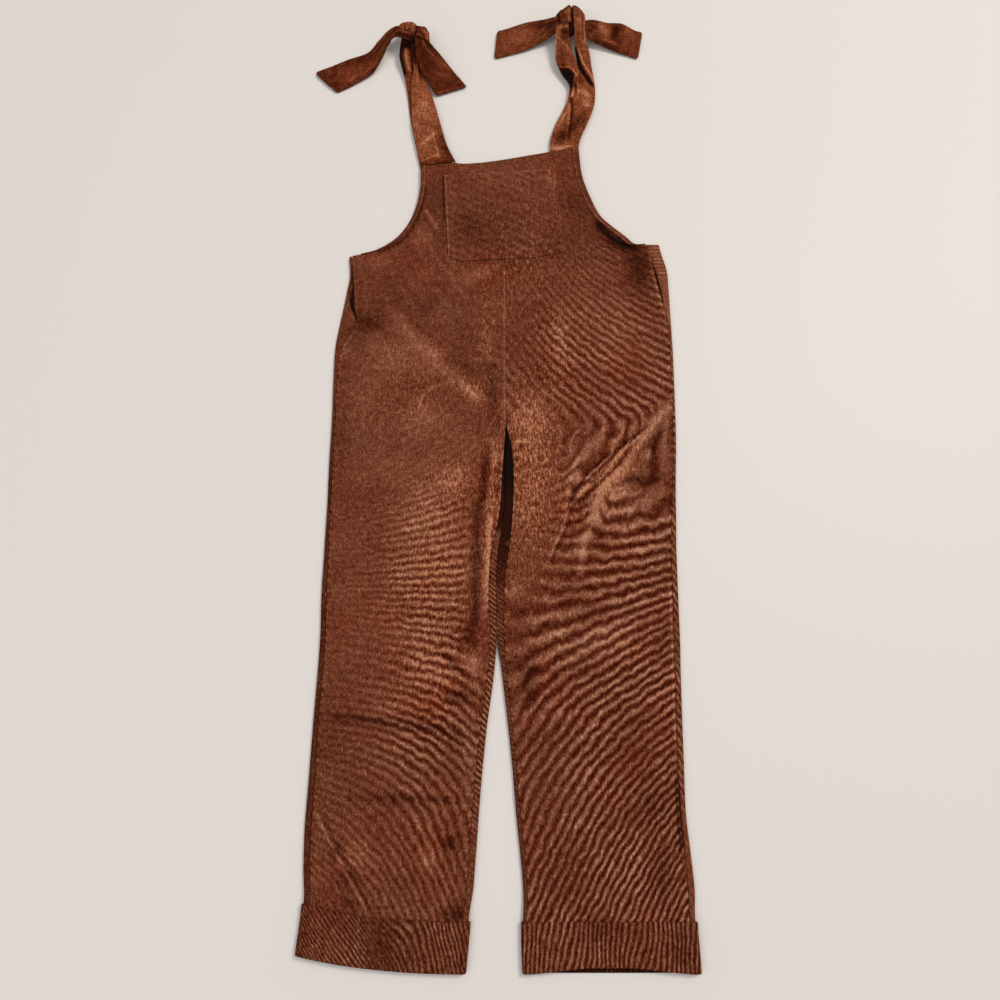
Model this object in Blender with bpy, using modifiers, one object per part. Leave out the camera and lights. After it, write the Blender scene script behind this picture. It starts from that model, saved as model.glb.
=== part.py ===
# Bib overalls in fine corduroy, lying flat: the fronts lie on the backs, which roll up and over at
# the side seams and inseams, and the straps are tied at the shoulders.
# X runs across the garment, Y from the hems to the straps and Z up. Left and right are as seen from
# above with the straps at the top. Sizes are in metres.
import math

import bmesh
import bpy
from mathutils import Vector

# Cloth and seams
CLOTH = 0.0013             # wall of the corduroy
DOUBLE = 0.0022            # two layers sewn together: turn-ups, straps and ties
GAP = 0.0004               # between pieces that meet or lie on each other

# Heights above the table
FRONT_TOP = 0.0043         # face of a front where it lies quietest
EDGE_TOP = 0.0052          # crest of a rolled edge
WEB_TOP = 0.0021           # lower end of a front's edge where it dips onto the back under the crotch
BIB_RISE = 0.0009          # the bib lies on the back straps
CUFF_INSIDE = 0.0040       # leg pressed flat inside its turn-up
CUFF_FACE = CUFF_INSIDE + 2 * (DOUBLE + GAP)

# Lengths along the garment
CUFF_HEIGHT = 0.0555       # depth of a turn-up
CUFF_RAMP = 0.040          # length over which a leg comes down from its turn-up to the table
LEG_START = 0.006          # lower end of the leg inside its turn-up
CROTCH = 0.699             # height of the crotch point
CENTRE_BEND = 0.935        # where the centre front seam starts to lean
BACK_HEIGHT = 1.105        # top edge of the backs, hidden under the bib
BIB_CENTRE = (-0.0060, 1.1490)
CENTRE_X = 0.0085          # centre seam at the crotch
BIB_SAG = {"from_x": -0.0705, "to_x": 0.0795, "depth": 0.0058, "skew": 0.6, "fades_from": 1.060}

# The whole garment's middle, which becomes the origin
MIDDLE_X = -0.0270
MIDDLE_Y = 0.7194

# One row a section of each leg and hip, from the hem up: its height, the two folded edges, the
# seams on the front beside them, and how far the back rolls over at the inner edge (0 flat, 1 over).
SECTION = ("y", "outer_edge", "outer_seam", "inner_seam", "inner_edge", "roll")
LEFT_SECTIONS = (
    (0.000, -0.2435, -0.2345, -0.0485, -0.0400, 1.0),
    (0.055, -0.2395, -0.2305, -0.0435, -0.0350, 1.0),
    (0.142, -0.2420, -0.2335, -0.0370, -0.0285, 1.0),
    (0.205, -0.2410, -0.2325, -0.0325, -0.0240, 1.0),
    (0.277, -0.2400, -0.2330, -0.0255, -0.0170, 1.0),
    (0.344, -0.2385, -0.2310, -0.0165, -0.0080, 1.0),
    (0.390, -0.2380, -0.2305, -0.0135, -0.0047, 1.0),
    (0.453, -0.2400, -0.2325, -0.0150, -0.0060, 1.0),
    (0.497, -0.2400, -0.2335, -0.0130, -0.0045, 1.0),
    (0.520, -0.2400, -0.2340, -0.0095, -0.0022, 0.8),
    (0.545, -0.2400, -0.2345, -0.0040, 0.0020, 0.4),
    (0.575, -0.2400, -0.2350, 0.0005, 0.0062, 0.0),
    (0.633, -0.2410, -0.2358, 0.0040, 0.0075, 0.0),
    (0.699, -0.2412, -0.2362, 0.0085, 0.0085, 0.0),
    (0.774, -0.2430, -0.2375, 0.0085, 0.0085, 0.0),
    (0.815, -0.2430, -0.2330, 0.0085, 0.0085, 0.0),
    (0.857, -0.2380, -0.2140, 0.0085, 0.0085, 0.0),
    (0.880, -0.2345, -0.2178, 0.0085, 0.0085, 0.0),
    (0.908, -0.2310, -0.2200, 0.0085, 0.0085, 0.0),
    (0.935, -0.2280, -0.2232, 0.0085, 0.0085, 0.0),
    (0.968, -0.2310, -0.2262, 0.0065, 0.0065, 0.0),
)
RIGHT_SECTIONS = (
    (0.000, 0.2380, 0.2295, 0.0315, 0.0260, 1.0),
    (0.057, 0.2370, 0.2285, 0.0305, 0.0250, 1.0),
    (0.090, 0.2365, 0.2280, 0.0335, 0.0278, 1.0),
    (0.127, 0.2345, 0.2260, 0.0305, 0.0250, 1.0),
    (0.176, 0.2315, 0.2230, 0.0255, 0.0200, 1.0),
    (0.237, 0.2330, 0.2245, 0.0205, 0.0150, 1.0),
    (0.317, 0.2352, 0.2265, 0.0115, 0.0060, 1.0),
    (0.353, 0.2365, 0.2285, 0.0085, 0.0015, 1.0),
    (0.385, 0.2380, 0.2300, 0.0055, -0.0036, 1.0),
    (0.430, 0.2390, 0.2310, 0.0055, -0.0050, 1.0),
    (0.462, 0.2398, 0.2320, 0.0065, -0.0051, 1.0),
    (0.490, 0.2405, 0.2325, 0.0092, -0.0041, 0.6),
    (0.515, 0.2412, 0.2330, 0.0125, -0.0019, 0.1),
    (0.545, 0.2430, 0.2355, 0.0160, 0.0026, 0.0),
    (0.575, 0.2445, 0.2385, 0.0180, 0.0066, 0.0),
    (0.610, 0.2465, 0.2415, 0.0190, 0.0075, 0.0),
    (0.658, 0.2500, 0.2455, 0.0165, 0.0080, 0.0),
    (0.699, 0.2520, 0.2478, 0.0085, 0.0085, 0.0),
    (0.806, 0.2548, 0.2510, 0.0085, 0.0085, 0.0),
    (0.838, 0.2549, 0.2511, 0.0085, 0.0085, 0.0),
    (0.877, 0.2548, 0.2458, 0.0085, 0.0085, 0.0),
    (0.911, 0.2549, 0.2396, 0.0085, 0.0085, 0.0),
    (0.945, 0.2540, 0.2333, 0.0085, 0.0085, 0.0),
    (0.976, 0.2468, 0.2288, 0.0060, 0.0060, 0.0),
    (0.991, 0.2445, 0.2245, 0.0050, 0.0050, 0.0),
)

# Armhole edges from the side's top corner to the bib's corner
LEFT_ARMHOLE = ((-0.2258, 0.970), (-0.209, 0.974), (-0.190, 0.980), (-0.167, 0.995), (-0.154, 1.008),
                (-0.140, 1.031), (-0.131, 1.057), (-0.126, 1.088), (-0.1255, 1.111), (-0.126, 1.133))
RIGHT_ARMHOLE = ((0.2242, 0.991), (0.208, 0.990), (0.193, 1.004), (0.174, 1.021), (0.156, 1.041),
                 (0.140, 1.079), (0.130, 1.115), (0.127, 1.149), (0.126, 1.167))

# Outer edge of each back above its side seam, hidden under the front
LEFT_BACK_EDGE = ((0.968, -0.2000), (0.975, -0.1860), (1.010, -0.1480), (1.050, -0.1290), (1.105, -0.1225))
RIGHT_BACK_EDGE = ((0.989, 0.2100), (0.996, 0.1950), (1.020, 0.1640), (1.060, 0.1400), (1.105, 0.1280))

# Largest folds of the fronts: a route, half its width, and its height above the cloth around it
FOLD = ("route", "half_width", "height")
FOLDS = (
    (((0.247, 0.715), (0.212, 0.679), (0.177, 0.634), (0.139, 0.593), (0.123, 0.555), (0.113, 0.513)),
     0.013, 0.0060),
    (((0.222, 0.712), (0.161, 0.655), (0.108, 0.597), (0.088, 0.545)), 0.011, -0.0010),
    (((-0.017, 0.650), (-0.032, 0.519), (-0.039, 0.400)), 0.007, -0.0012),
    (((0.000, 0.655), (-0.017, 0.540), (-0.025, 0.430)), 0.009, 0.0016),
    (((-0.200, 0.845), (-0.130, 0.775), (-0.060, 0.735)), 0.018, 0.0012),
    (((-0.205, 0.975), (-0.200, 0.910), (-0.196, 0.850)), 0.024, 0.0026),
    (((0.215, 0.975), (0.232, 0.925), (0.237, 0.870)), 0.022, 0.0026),
    (((0.135, 1.070), (0.165, 1.005), (0.200, 0.965)), 0.012, -0.0008),
    (((-0.190, 0.300), (-0.120, 0.345), (-0.070, 0.350)), 0.020, 0.0010),
    (((0.070, 0.330), (0.140, 0.300), (0.200, 0.310)), 0.020, 0.0010),
)

# Pocket corners and the clip across its lower corners
POCKET = {"top_left": (-0.0880, 1.115), "top_right": (0.0790, 1.126),
          "low_left": (-0.0795, 0.959), "low_right": (0.1000, 0.969),
          "clip_share": 0.10, "clip_rise": 0.0115}

# Side pocket openings: from, to, how far the seam gapes
OPENINGS = {"left": (0.858, 0.955, 0.0060), "right": (0.880, 0.968, 0.0025)}

# Bands: a double strip from each section's left edge to its right edge, as (x, y, height of its face)
STRIPS = {
    "strap_front_left": (
        ((-0.1262, 1.1345, 0.0060), (-0.0705, 1.1420, 0.0060)),
        ((-0.1341, 1.1690, 0.0065), (-0.0846, 1.1725, 0.0065)),
        ((-0.1421, 1.2107, 0.0068), (-0.0957, 1.2130, 0.0068)),
        ((-0.1450, 1.2600, 0.0075), (-0.1080, 1.2590, 0.0070)),
        ((-0.1462, 1.2900, 0.0090), (-0.1180, 1.2900, 0.0075)),
        ((-0.1430, 1.3140, 0.0120), (-0.1260, 1.3160, 0.0095)),
        ((-0.1450, 1.3380, 0.0150), (-0.1280, 1.3390, 0.0120)),
        ((-0.1480, 1.3680, 0.0180), (-0.1300, 1.3680, 0.0170)),
    ),
    "strap_back_left": (
        ((-0.1220, 1.1056, 0.0026), (-0.0720, 1.1056, 0.0026)),
        ((-0.1350, 1.1700, 0.0027), (-0.0880, 1.1700, 0.0027)),
        ((-0.1450, 1.2200, 0.0028), (-0.1020, 1.2200, 0.0028)),
        ((-0.1515, 1.2680, 0.0030), (-0.1200, 1.2680, 0.0030)),
        ((-0.1560, 1.2970, 0.0050), (-0.1390, 1.2980, 0.0035)),
        ((-0.1610, 1.3180, 0.0085), (-0.1480, 1.3200, 0.0065)),
        ((-0.1670, 1.3450, 0.0140), (-0.1510, 1.3460, 0.0120)),
        ((-0.1640, 1.3720, 0.0190), (-0.1510, 1.3730, 0.0180)),
    ),
    "strap_front_right": (
        ((0.0795, 1.1618, 0.0060), (0.1255, 1.1676, 0.0060)),
        ((0.0815, 1.1860, 0.0065), (0.1300, 1.1860, 0.0065)),
        ((0.0912, 1.2165, 0.0068), (0.1410, 1.2130, 0.0068)),
        ((0.1068, 1.2500, 0.0075), (0.1520, 1.2450, 0.0072)),
        ((0.1120, 1.2690, 0.0085), (0.1490, 1.2700, 0.0085)),
        ((0.1130, 1.2900, 0.0080), (0.1370, 1.2890, 0.0100)),
        ((0.1015, 1.3110, 0.0085), (0.1310, 1.3110, 0.0110)),
        ((0.0925, 1.3330, 0.0130), (0.1270, 1.3320, 0.0120)),
        ((0.0915, 1.3560, 0.0165), (0.1190, 1.3560, 0.0150)),
        ((0.0930, 1.3860, 0.0190), (0.1150, 1.3870, 0.0180)),
    ),
    "strap_back_right": (
        ((0.0730, 1.1056, 0.0026), (0.1210, 1.1056, 0.0026)),
        ((0.0860, 1.1800, 0.0027), (0.1270, 1.1780, 0.0027)),
        ((0.1020, 1.2200, 0.0028), (0.1400, 1.2150, 0.0028)),
        ((0.1200, 1.2550, 0.0030), (0.1535, 1.2500, 0.0030)),
        ((0.1340, 1.2780, 0.0042), (0.1568, 1.2780, 0.0042)),
        ((0.1410, 1.3000, 0.0070), (0.1550, 1.3020, 0.0075)),
        ((0.1385, 1.3220, 0.0110), (0.1515, 1.3230, 0.0110)),
        ((0.1320, 1.3440, 0.0150), (0.1492, 1.3450, 0.0140)),
        ((0.1255, 1.3650, 0.0190), (0.1455, 1.3650, 0.0180)),
        ((0.1240, 1.3900, 0.0220), (0.1420, 1.3910, 0.0210)),
    ),
    "tie_left_outer": (
        ((-0.1560, 1.3725, 0.0210), (-0.1550, 1.3915, 0.0230)),
        ((-0.1745, 1.3735, 0.0210), (-0.1720, 1.3950, 0.0240)),
        ((-0.1861, 1.3604, 0.0170), (-0.1880, 1.3850, 0.0220)),
        ((-0.1960, 1.3400, 0.0110), (-0.2020, 1.3700, 0.0180)),
        ((-0.2114, 1.3157, 0.0060), (-0.2200, 1.3515, 0.0120)),
        ((-0.2412, 1.2944, 0.0040), (-0.2500, 1.3430, 0.0080)),
        ((-0.2570, 1.2850, 0.0030), (-0.2780, 1.3320, 0.0050)),
        ((-0.2690, 1.2783, 0.0028), (-0.3088, 1.3190, 0.0035)),
    ),
    "tie_left_inner": (
        ((-0.1440, 1.3860, 0.0270), (-0.1260, 1.3820, 0.0240)),
        ((-0.1408, 1.3721, 0.0270), (-0.1196, 1.3674, 0.0230)),
        ((-0.1385, 1.3400, 0.0240), (-0.0981, 1.3446, 0.0150)),
        ((-0.1310, 1.3136, 0.0175), (-0.0748, 1.3150, 0.0080)),
        ((-0.1200, 1.2960, 0.0125), (-0.0640, 1.3025, 0.0055)),
        ((-0.1056, 1.2707, 0.0035), (-0.0538, 1.2902, 0.0035)),
    ),
    "tie_right_inner": (
        ((0.1000, 1.3920, 0.0200), (0.1000, 1.4180, 0.0240)),
        ((0.0857, 1.3827, 0.0150), (0.0800, 1.4150, 0.0200)),
        ((0.0640, 1.3735, 0.0085), (0.0600, 1.4165, 0.0145)),
        ((0.0396, 1.3634, 0.0050), (0.0420, 1.4170, 0.0100)),
        ((0.0150, 1.3556, 0.0035), (0.0107, 1.4087, 0.0060)),
        ((-0.0099, 1.3478, 0.0030), (-0.0048, 1.4066, 0.0035)),
    ),
    "tie_right_outer": (
        ((0.1280, 1.4080, 0.0200), (0.1280, 1.3880, 0.0170)),
        ((0.1437, 1.4130, 0.0185), (0.1450, 1.3815, 0.0135)),
        ((0.1580, 1.4171, 0.0160), (0.1623, 1.3741, 0.0090)),
        ((0.1803, 1.4140, 0.0130), (0.1800, 1.3668, 0.0060)),
        ((0.2050, 1.4141, 0.0110), (0.1965, 1.3602, 0.0045)),
        ((0.2270, 1.4055, 0.0060), (0.2140, 1.3540, 0.0035)),
        ((0.2408, 1.4044, 0.0035), (0.2304, 1.3474, 0.0030)),
    ),
}

# Shoulder knots: middle, half length, half width, full height, turn and the strips each one holds
KNOTS = {
    "knot_left": {"middle": (-0.1440, 1.3800), "half": (0.0280, 0.0220), "height": 0.033, "turn": -24,
                  "holds": ("strap_front_left", "strap_back_left", "tie_left_outer", "tie_left_inner")},
    "knot_right": {"middle": (0.1150, 1.4060), "half": (0.0330, 0.0270), "height": 0.034, "turn": 62,
                   "holds": ("strap_front_right", "strap_back_right", "tie_right_inner",
                             "tie_right_outer")},
}
KNOT_WRAPS = 3             # turns of cloth that show on a knot
KNOT_GROOVE = 0.09         # their depth as a share of the knot's radius
KNOT_SLANT = 0.25          # how far they lean across it
KNOT_SQUARE = 0.55         # 0 round, 1 nearly a block
KNOT_UNDERSIDE = 0.0006

# Meshing
FRONT_COLUMNS = 11
BACK_COLUMNS = 1
STRIP_COLUMNS = 4
BAND_COLUMNS = 2
ROLL_ANGLES = (90, 150, 210, 270)
CUFF_ANGLES = (90, 120, 150, 180, 210, 240, 270)
SEAM_ROWS = 2              # rows beside the last of the side seam, and rows along the armhole
ARMHOLE_ROWS = 13
DIP_ANGLES = (0, 35, 65, 90)
POCKET_COLUMNS = 9
POCKET_ROWS = 8
SIDE_POCKET_COLUMNS = 3
SIDE_POCKET_ROWS = 5
UPPER_BACK_ROWS = 4
KNOT_SEGMENTS = 22
KNOT_RINGS = 12
# Rows of the legs: the upper end of each stretch and the distance between its rows on each side, closer
# together where folds cross
STRETCH = ("to_y", "left_step", "right_step")
STRETCHES = ((0.030, 0.024, 0.024), (CUFF_HEIGHT, 0.026, 0.026), (CUFF_HEIGHT + CUFF_RAMP, 0.014, 0.014),
             (0.385, 0.040, 0.040), (0.480, 0.032, 0.032), (0.580, 0.015, 0.015), (CROTCH, 0.030, 0.016),
             (CENTRE_BEND, 0.030, 0.016))

BROWN = (0.235, 0.068, 0.028)
LIGHT_BROWN = (0.330, 0.120, 0.050)


def mix(a, b, share):
    return a + (b - a) * share


def ease(low, high, value):
    share = min(max((value - low) / (high - low), 0.0), 1.0)
    return share * share * (3.0 - 2.0 * share)


def smooth_between(keys, values, at):
    # A cubic through the values, with slopes from the neighbours on each side
    at = min(max(at, keys[0]), keys[-1])
    k = max(i for i in range(len(keys) - 1) if keys[i] <= at)
    last = len(keys) - 1

    def slope(i):
        a, b = max(i - 1, 0), min(i + 1, last)
        return (values[b] - values[a]) / (keys[b] - keys[a])

    span = keys[k + 1] - keys[k]
    t = (at - keys[k]) / span
    h00, h10 = 2 * t**3 - 3 * t**2 + 1, t**3 - 2 * t**2 + t
    h01, h11 = 3 * t**2 - 2 * t**3, t**3 - t**2
    return h00 * values[k] + h10 * span * slope(k) + h01 * values[k + 1] + h11 * span * slope(k + 1)


def along(points, share):
    # Point at a share of the length of a smooth line through points of any dimension
    points = [Vector(p) for p in points]
    lengths = [0.0]
    for a, b in zip(points, points[1:]):
        lengths.append(lengths[-1] + (b - a).length)
    at = share * lengths[-1]
    return [smooth_between(lengths, [p[i] for p in points], at) for i in range(len(points[0]))]


class Side:
    # One half of the garment; sign is -1 on the left and 1 on the right
    def __init__(self, name, sign, sections, armhole, back_edge, hem, hem_rise, band, side_top):
        self.name = name
        self.sign = sign
        self.table = {c: [row[i] for row in sections] for i, c in enumerate(SECTION)}
        self.armhole = armhole
        self.back_edge = back_edge
        self.hem = hem                  # height of the front's hem at its inner corner
        self.hem_rise = hem_rise        # how much higher the hem lies at its outer corner
        self.band = band                # width and crest of the armhole band
        self.side_top = side_top        # height of the side seam's upper end

    def at(self, column, y):
        value = smooth_between(self.table["y"], self.table[column], y)
        return min(max(value, 0.0), 1.0) if column == "roll" else value

    def opening(self, y):
        low, high, width = OPENINGS[self.name]
        return width * math.sin(math.pi * min(max((y - low) / (high - low), 0.0), 1.0))

    def rise(self, x, y):
        # The hem and the turn-up slope up to the outer edge, and the leg takes that up gradually
        outer, inner = self.at("outer_edge", y), self.at("inner_edge", y)
        share = min(max((x - inner) / (outer - inner), 0.0), 1.0)
        return self.hem_rise * share**2.4 * (1.0 - ease(CUFF_HEIGHT, 0.30, y))


LEFT = Side("left", -1, LEFT_SECTIONS, LEFT_ARMHOLE, LEFT_BACK_EDGE, 0.0015, 0.0195, (0.008, 0.0006), 0.968)
RIGHT = Side("right", 1, RIGHT_SECTIONS, RIGHT_ARMHOLE, RIGHT_BACK_EDGE, 0.0030, 0.0, (0.011, 0.0016), 0.989)


def cuff_lift(y):
    # How far a leg is raised by the turn-up under it
    return (DOUBLE + GAP) * (1.0 - ease(CUFF_HEIGHT + 0.004, CUFF_HEIGHT + CUFF_RAMP, y))


def inside_cuff(y):
    return 1.0 - ease(CUFF_HEIGHT + 0.004, CUFF_HEIGHT + CUFF_RAMP, y)


def edge_top(y):
    return mix(EDGE_TOP, CUFF_INSIDE, inside_cuff(y))


def cuff_inset(y):
    # A leg's edges lie inside those of its turn-up
    return (DOUBLE + GAP) * inside_cuff(y)


def fold_height(x, y):
    total = 0.0
    here = Vector((x, y))
    for values in FOLDS:
        fold = dict(zip(FOLD, values))
        route = fold["route"]
        nearest, reach = 1.0, 0.0
        length = sum((Vector(b) - Vector(a)).length for a, b in zip(route, route[1:]))
        run = 0.0
        for a, b in zip(route, route[1:]):
            a, b = Vector(a), Vector(b)
            step = b - a
            share = min(max((here - a).dot(step) / step.length_squared, 0.0), 1.0)
            distance = (here - (a + step * share)).length
            if distance < nearest:
                nearest, reach = distance, run + share * step.length
            run += step.length
        taper = ease(0.0, 0.3 * length, min(reach, length - reach) + 0.06 * length)
        total += fold["height"] * taper * math.exp(-((nearest / fold["half_width"]) ** 2))
    return total


def front_height(x, y):
    # Face of the fronts away from their edges
    base = mix(FRONT_TOP, CUFF_INSIDE, inside_cuff(y))
    bib = BIB_RISE * ease(0.98, 1.05, y)
    quiet = 1.0 - inside_cuff(y)
    waves = 0.00025 * math.sin(27 * x + 9 * y) * math.sin(19 * y - 5 * x + 1.0)
    height = base + bib + quiet * (waves + fold_height(x, y))
    return max(height, CLOTH + CLOTH + 1.2 * GAP)


def centre_x(y):
    # The straight seam above the crotch, which leans to the left above its bend
    lean = max(y - CENTRE_BEND, 0.0) / (BIB_CENTRE[1] - CENTRE_BEND)
    return mix(CENTRE_X, BIB_CENTRE[0], lean)


def leg_heights(side):
    # Heights of the rows shared by a front and its back
    rows = [LEG_START]
    for values in STRETCHES:
        stretch = dict(zip(STRETCH, values))
        start = rows[-1]
        length = stretch["to_y"] - start
        count = max(round(length / stretch[side.name + "_step"]), 1)
        rows += [start + length * k / count for k in range(1, count + 1)]
    return rows


def bib_sag(x, y):
    # How far the bib's top edge hangs down between the straps, fading out below
    share = min(max((x - BIB_SAG["from_x"]) / (BIB_SAG["to_x"] - BIB_SAG["from_x"]), 0.0), 1.0)
    fade = ease(BIB_SAG["fades_from"], LEFT_ARMHOLE[-1][1], y)
    return BIB_SAG["depth"] * math.sin(math.pi * share ** BIB_SAG["skew"]) * fade


def dip(side, y):
    # How far a front's inner edge turns down onto the back, where the back doesn't roll over it
    return max(1.0 - 2.5 * side.at("roll", y), 0.0) * (1.0 - ease(0.665, CROTCH - 0.004, y))


def front_row(side, outer, inner, y, band):
    # Points across one front from its outer to its inner end, as (x, y, z)
    outer, inner = Vector(outer), Vector(inner)
    width = (inner - outer).length
    end = (EDGE_TOP - WEB_TOP) / width
    shares = [0.0, band / width]
    stretch = 1.0 - end - shares[1]
    shares += [shares[1] + stretch * k / FRONT_COLUMNS for k in range(1, FRONT_COLUMNS + 1)]
    turn = [1.0 - end * (1.0 - math.sin(math.radians(a))) for a in DIP_ANGLES[1:]]
    row = []
    for k, share in enumerate(shares + turn):
        x, level = outer.lerp(inner, share)
        crest = edge_top(y) - mix(FRONT_TOP, CUFF_INSIDE, inside_cuff(y))
        from_outer = share * width
        from_inner = (1.0 - share) * width
        seamed = 1.0 - ease(CROTCH - 0.03, CROTCH + 0.03, y)
        rise = crest * math.exp(-from_outer / 0.012) * (1.0 - ease(side.side_top, side.side_top + 0.01, y))
        rise += crest * math.exp(-from_inner / 0.012) * seamed
        z = front_height(x, level) + rise
        if k >= len(shares) - 1:
            angle = math.radians(DIP_ANGLES[k - len(shares) + 1])
            z = mix(z, WEB_TOP + (z - WEB_TOP) * math.cos(angle), dip(side, y))
        row.append(Vector((x, level + side.rise(x, y) - bib_sag(x, level), z + cuff_lift(y))))
    return row


def front_rows(side):
    rows = []
    sign = side.sign
    for y in leg_heights(side):
        inset = cuff_inset(y)
        outer = side.at("outer_seam", y) - sign * GAP / 2
        seam = side.at("inner_seam", y) if y < CROTCH else centre_x(y)
        inner = seam + sign * GAP / 2
        outer, inner = outer - sign * inset * 0.5, inner + sign * inset * 0.5
        rows.append(front_row(side, (outer, y), (inner, y), y, side.band[0]))
    for k in range(1, SEAM_ROWS + ARMHOLE_ROWS + 1):
        y = mix(CENTRE_BEND, BIB_CENTRE[1], k / (SEAM_ROWS + ARMHOLE_ROWS))
        if k <= SEAM_ROWS:
            level = mix(CENTRE_BEND, side.side_top, k / SEAM_ROWS)
            outer = (side.at("outer_seam", level) - sign * GAP / 2, level)
        else:
            level = side.side_top + 0.01
            outer = along(side.armhole, ((k - SEAM_ROWS) / ARMHOLE_ROWS) ** 1.1)
        inner = (centre_x(y) + sign * GAP / 2, y)
        rows.append(front_row(side, outer, inner, level, side.band[0]))
    return rows


def rolled(edge_inset, strip, top, base, angles):
    # An edge rolled up and over, from its seam end round to the flat: distances inside the edge and heights
    radius = (top - base) / 2
    points = [(max(strip, edge_inset + radius + 0.0006), top)]
    for degrees in angles:
        angle = math.radians(degrees)
        points.append((edge_inset + radius * (1 + math.cos(angle)), base + radius * (1 + math.sin(angle))))
    return points


def back_row(side, y):
    # Points round one back's outer face from the outer seam, underneath, to the inner seam
    sign = side.sign
    lift, top = cuff_lift(y), edge_top(y) + cuff_lift(y)
    inset = cuff_inset(y)
    if y <= side.side_top:
        edge = side.at("outer_edge", y)
        strip = abs(edge - side.at("outer_seam", y)) - GAP / 2 - side.opening(y) + inset * 0.5
        outer = rolled(inset, strip, top, lift, ROLL_ANGLES)
    else:
        edge = smooth_between([e[0] for e in side.back_edge], [e[1] for e in side.back_edge], y)
        outer = [(0.0, lift)] * (len(ROLL_ANGLES) + 1)

    roll = side.at("roll", y) if y < CROTCH else 0.0
    inner_edge = side.at("inner_edge", y) if y < CROTCH else centre_x(y)
    strip = abs(inner_edge - side.at("inner_seam", y)) - GAP / 2 + inset * 0.5
    inner = rolled(inset, strip, top, lift, ROLL_ANGLES)
    flat = [(GAP / 2 + 0.003 * k, lift) for k in range(len(inner))]
    inner = [(mix(f[0], o[0], roll), mix(f[1], o[1], roll)) for f, o in zip(flat, inner)]

    start = edge - sign * outer[-1][0]
    finish = inner_edge + sign * inner[-1][0]
    points = [(edge - sign * d, z) for d, z in outer]
    points += [(mix(start, finish, k / (BACK_COLUMNS + 1)), lift) for k in range(1, BACK_COLUMNS + 1)]
    points += [(inner_edge + sign * d, z) for d, z in reversed(inner)]
    return [Vector((x, y + side.rise(x, y), z)) for x, z in points]


def back_rows(side):
    top = side.side_top
    seam = [mix(CENTRE_BEND, top, k / SEAM_ROWS) for k in range(1, SEAM_ROWS + 1)]
    upper = [mix(top + 0.006, BACK_HEIGHT, k / UPPER_BACK_ROWS) for k in range(UPPER_BACK_ROWS + 1)]
    return [back_row(side, y) for y in leg_heights(side) + seam + upper]


def above_side_seam(side):
    # Cells of a back's grid that end at the side seam's top: the rolled columns, in the rows above it
    top_row = len(leg_heights(side)) + SEAM_ROWS - 1
    return lambda column, row: column < len(ROLL_ANGLES) and row >= top_row


def cuff_heights(hem):
    return [hem, CUFF_HEIGHT / 2, CUFF_HEIGHT]


def cuff_front_rows(side):
    rows = []
    for y in cuff_heights(side.hem):
        outer = side.at("outer_seam", y) - side.sign * GAP / 2
        inner = side.at("inner_seam", y) + side.sign * GAP / 2
        row = []
        for k in range(FRONT_COLUMNS + 1):
            x = mix(outer, inner, k / FRONT_COLUMNS)
            row.append(Vector((x, y + side.rise(x, y), CUFF_FACE)))
        rows.append(row)
    return rows


def cuff_back_rows(side):
    rows = []
    sign = side.sign
    for y in cuff_heights(0.0):
        edges = []
        for edge, seam in (("outer_edge", "outer_seam"), ("inner_edge", "inner_seam")):
            strip = abs(side.at(edge, y) - side.at(seam, y)) - GAP / 2
            edges.append(rolled(0.0, strip, CUFF_FACE, 0.0, CUFF_ANGLES))
        outer_edge, inner_edge = side.at("outer_edge", y), side.at("inner_edge", y)
        points = [(outer_edge - sign * d, z) for d, z in edges[0]]
        start, finish = points[-1][0], inner_edge + sign * edges[1][-1][0]
        points += [(mix(start, finish, k / FRONT_COLUMNS), 0.0) for k in range(1, FRONT_COLUMNS)]
        points += [(inner_edge + sign * d, z) for d, z in reversed(edges[1])]
        rows.append([Vector((x, y + side.rise(x, y), z)) for x, z in points])
    return rows


def band_rows(side):
    # A raised strip on the armhole's edge, from the front's own points
    rows = []
    width, crest = side.band
    front = front_rows(side)[-ARMHOLE_ROWS:]
    for row in front:
        outer, inner = row[0], row[1]
        points = []
        for k in range(BAND_COLUMNS + 1):
            share = k / BAND_COLUMNS
            point = outer.lerp(inner, mix(0.02, 0.96, share))
            lift = GAP + CLOTH + crest * share**0.7
            points.append(point + Vector((0.0, 0.0, lift)))
        rows.append(points)
    return rows


def pocket_rows():
    rows = []
    for j in range(POCKET_ROWS + 1):
        row = []
        for i in range(POCKET_COLUMNS + 1):
            u, v = i / POCKET_COLUMNS, j / POCKET_ROWS
            low = Vector(POCKET["low_left"]).lerp(Vector(POCKET["low_right"]), u)
            high = Vector(POCKET["top_left"]).lerp(Vector(POCKET["top_right"]), u)
            from_end = min(u, 1.0 - u) / POCKET["clip_share"]
            low.y += POCKET["clip_rise"] * max(1.0 - from_end, 0.0)
            x, y = low.lerp(high, v)
            row.append(Vector((x, y, front_height(x, y) + GAP * 1.5 + CLOTH)))
        rows.append(row)
    return rows


def side_pocket_rows(side):
    # Pocket cloth seen through the opening, between the front and the back
    low, high = OPENINGS[side.name][:2]
    rows = []
    for k in range(SIDE_POCKET_ROWS + 1):
        y = mix(low - 0.004, high - 0.006, k / SIDE_POCKET_ROWS)
        seam = side.at("outer_seam", y)
        strip = abs(side.at("outer_edge", y) - seam)
        start = seam + side.sign * max(min(0.010, strip - 0.0065), -0.003)
        finish = seam - side.sign * 0.018
        across = [mix(start, finish, s / SIDE_POCKET_COLUMNS) for s in range(SIDE_POCKET_COLUMNS + 1)]
        rows.append([Vector((x, y, CLOTH + GAP + CLOTH)) for x in across])
    return rows


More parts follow.
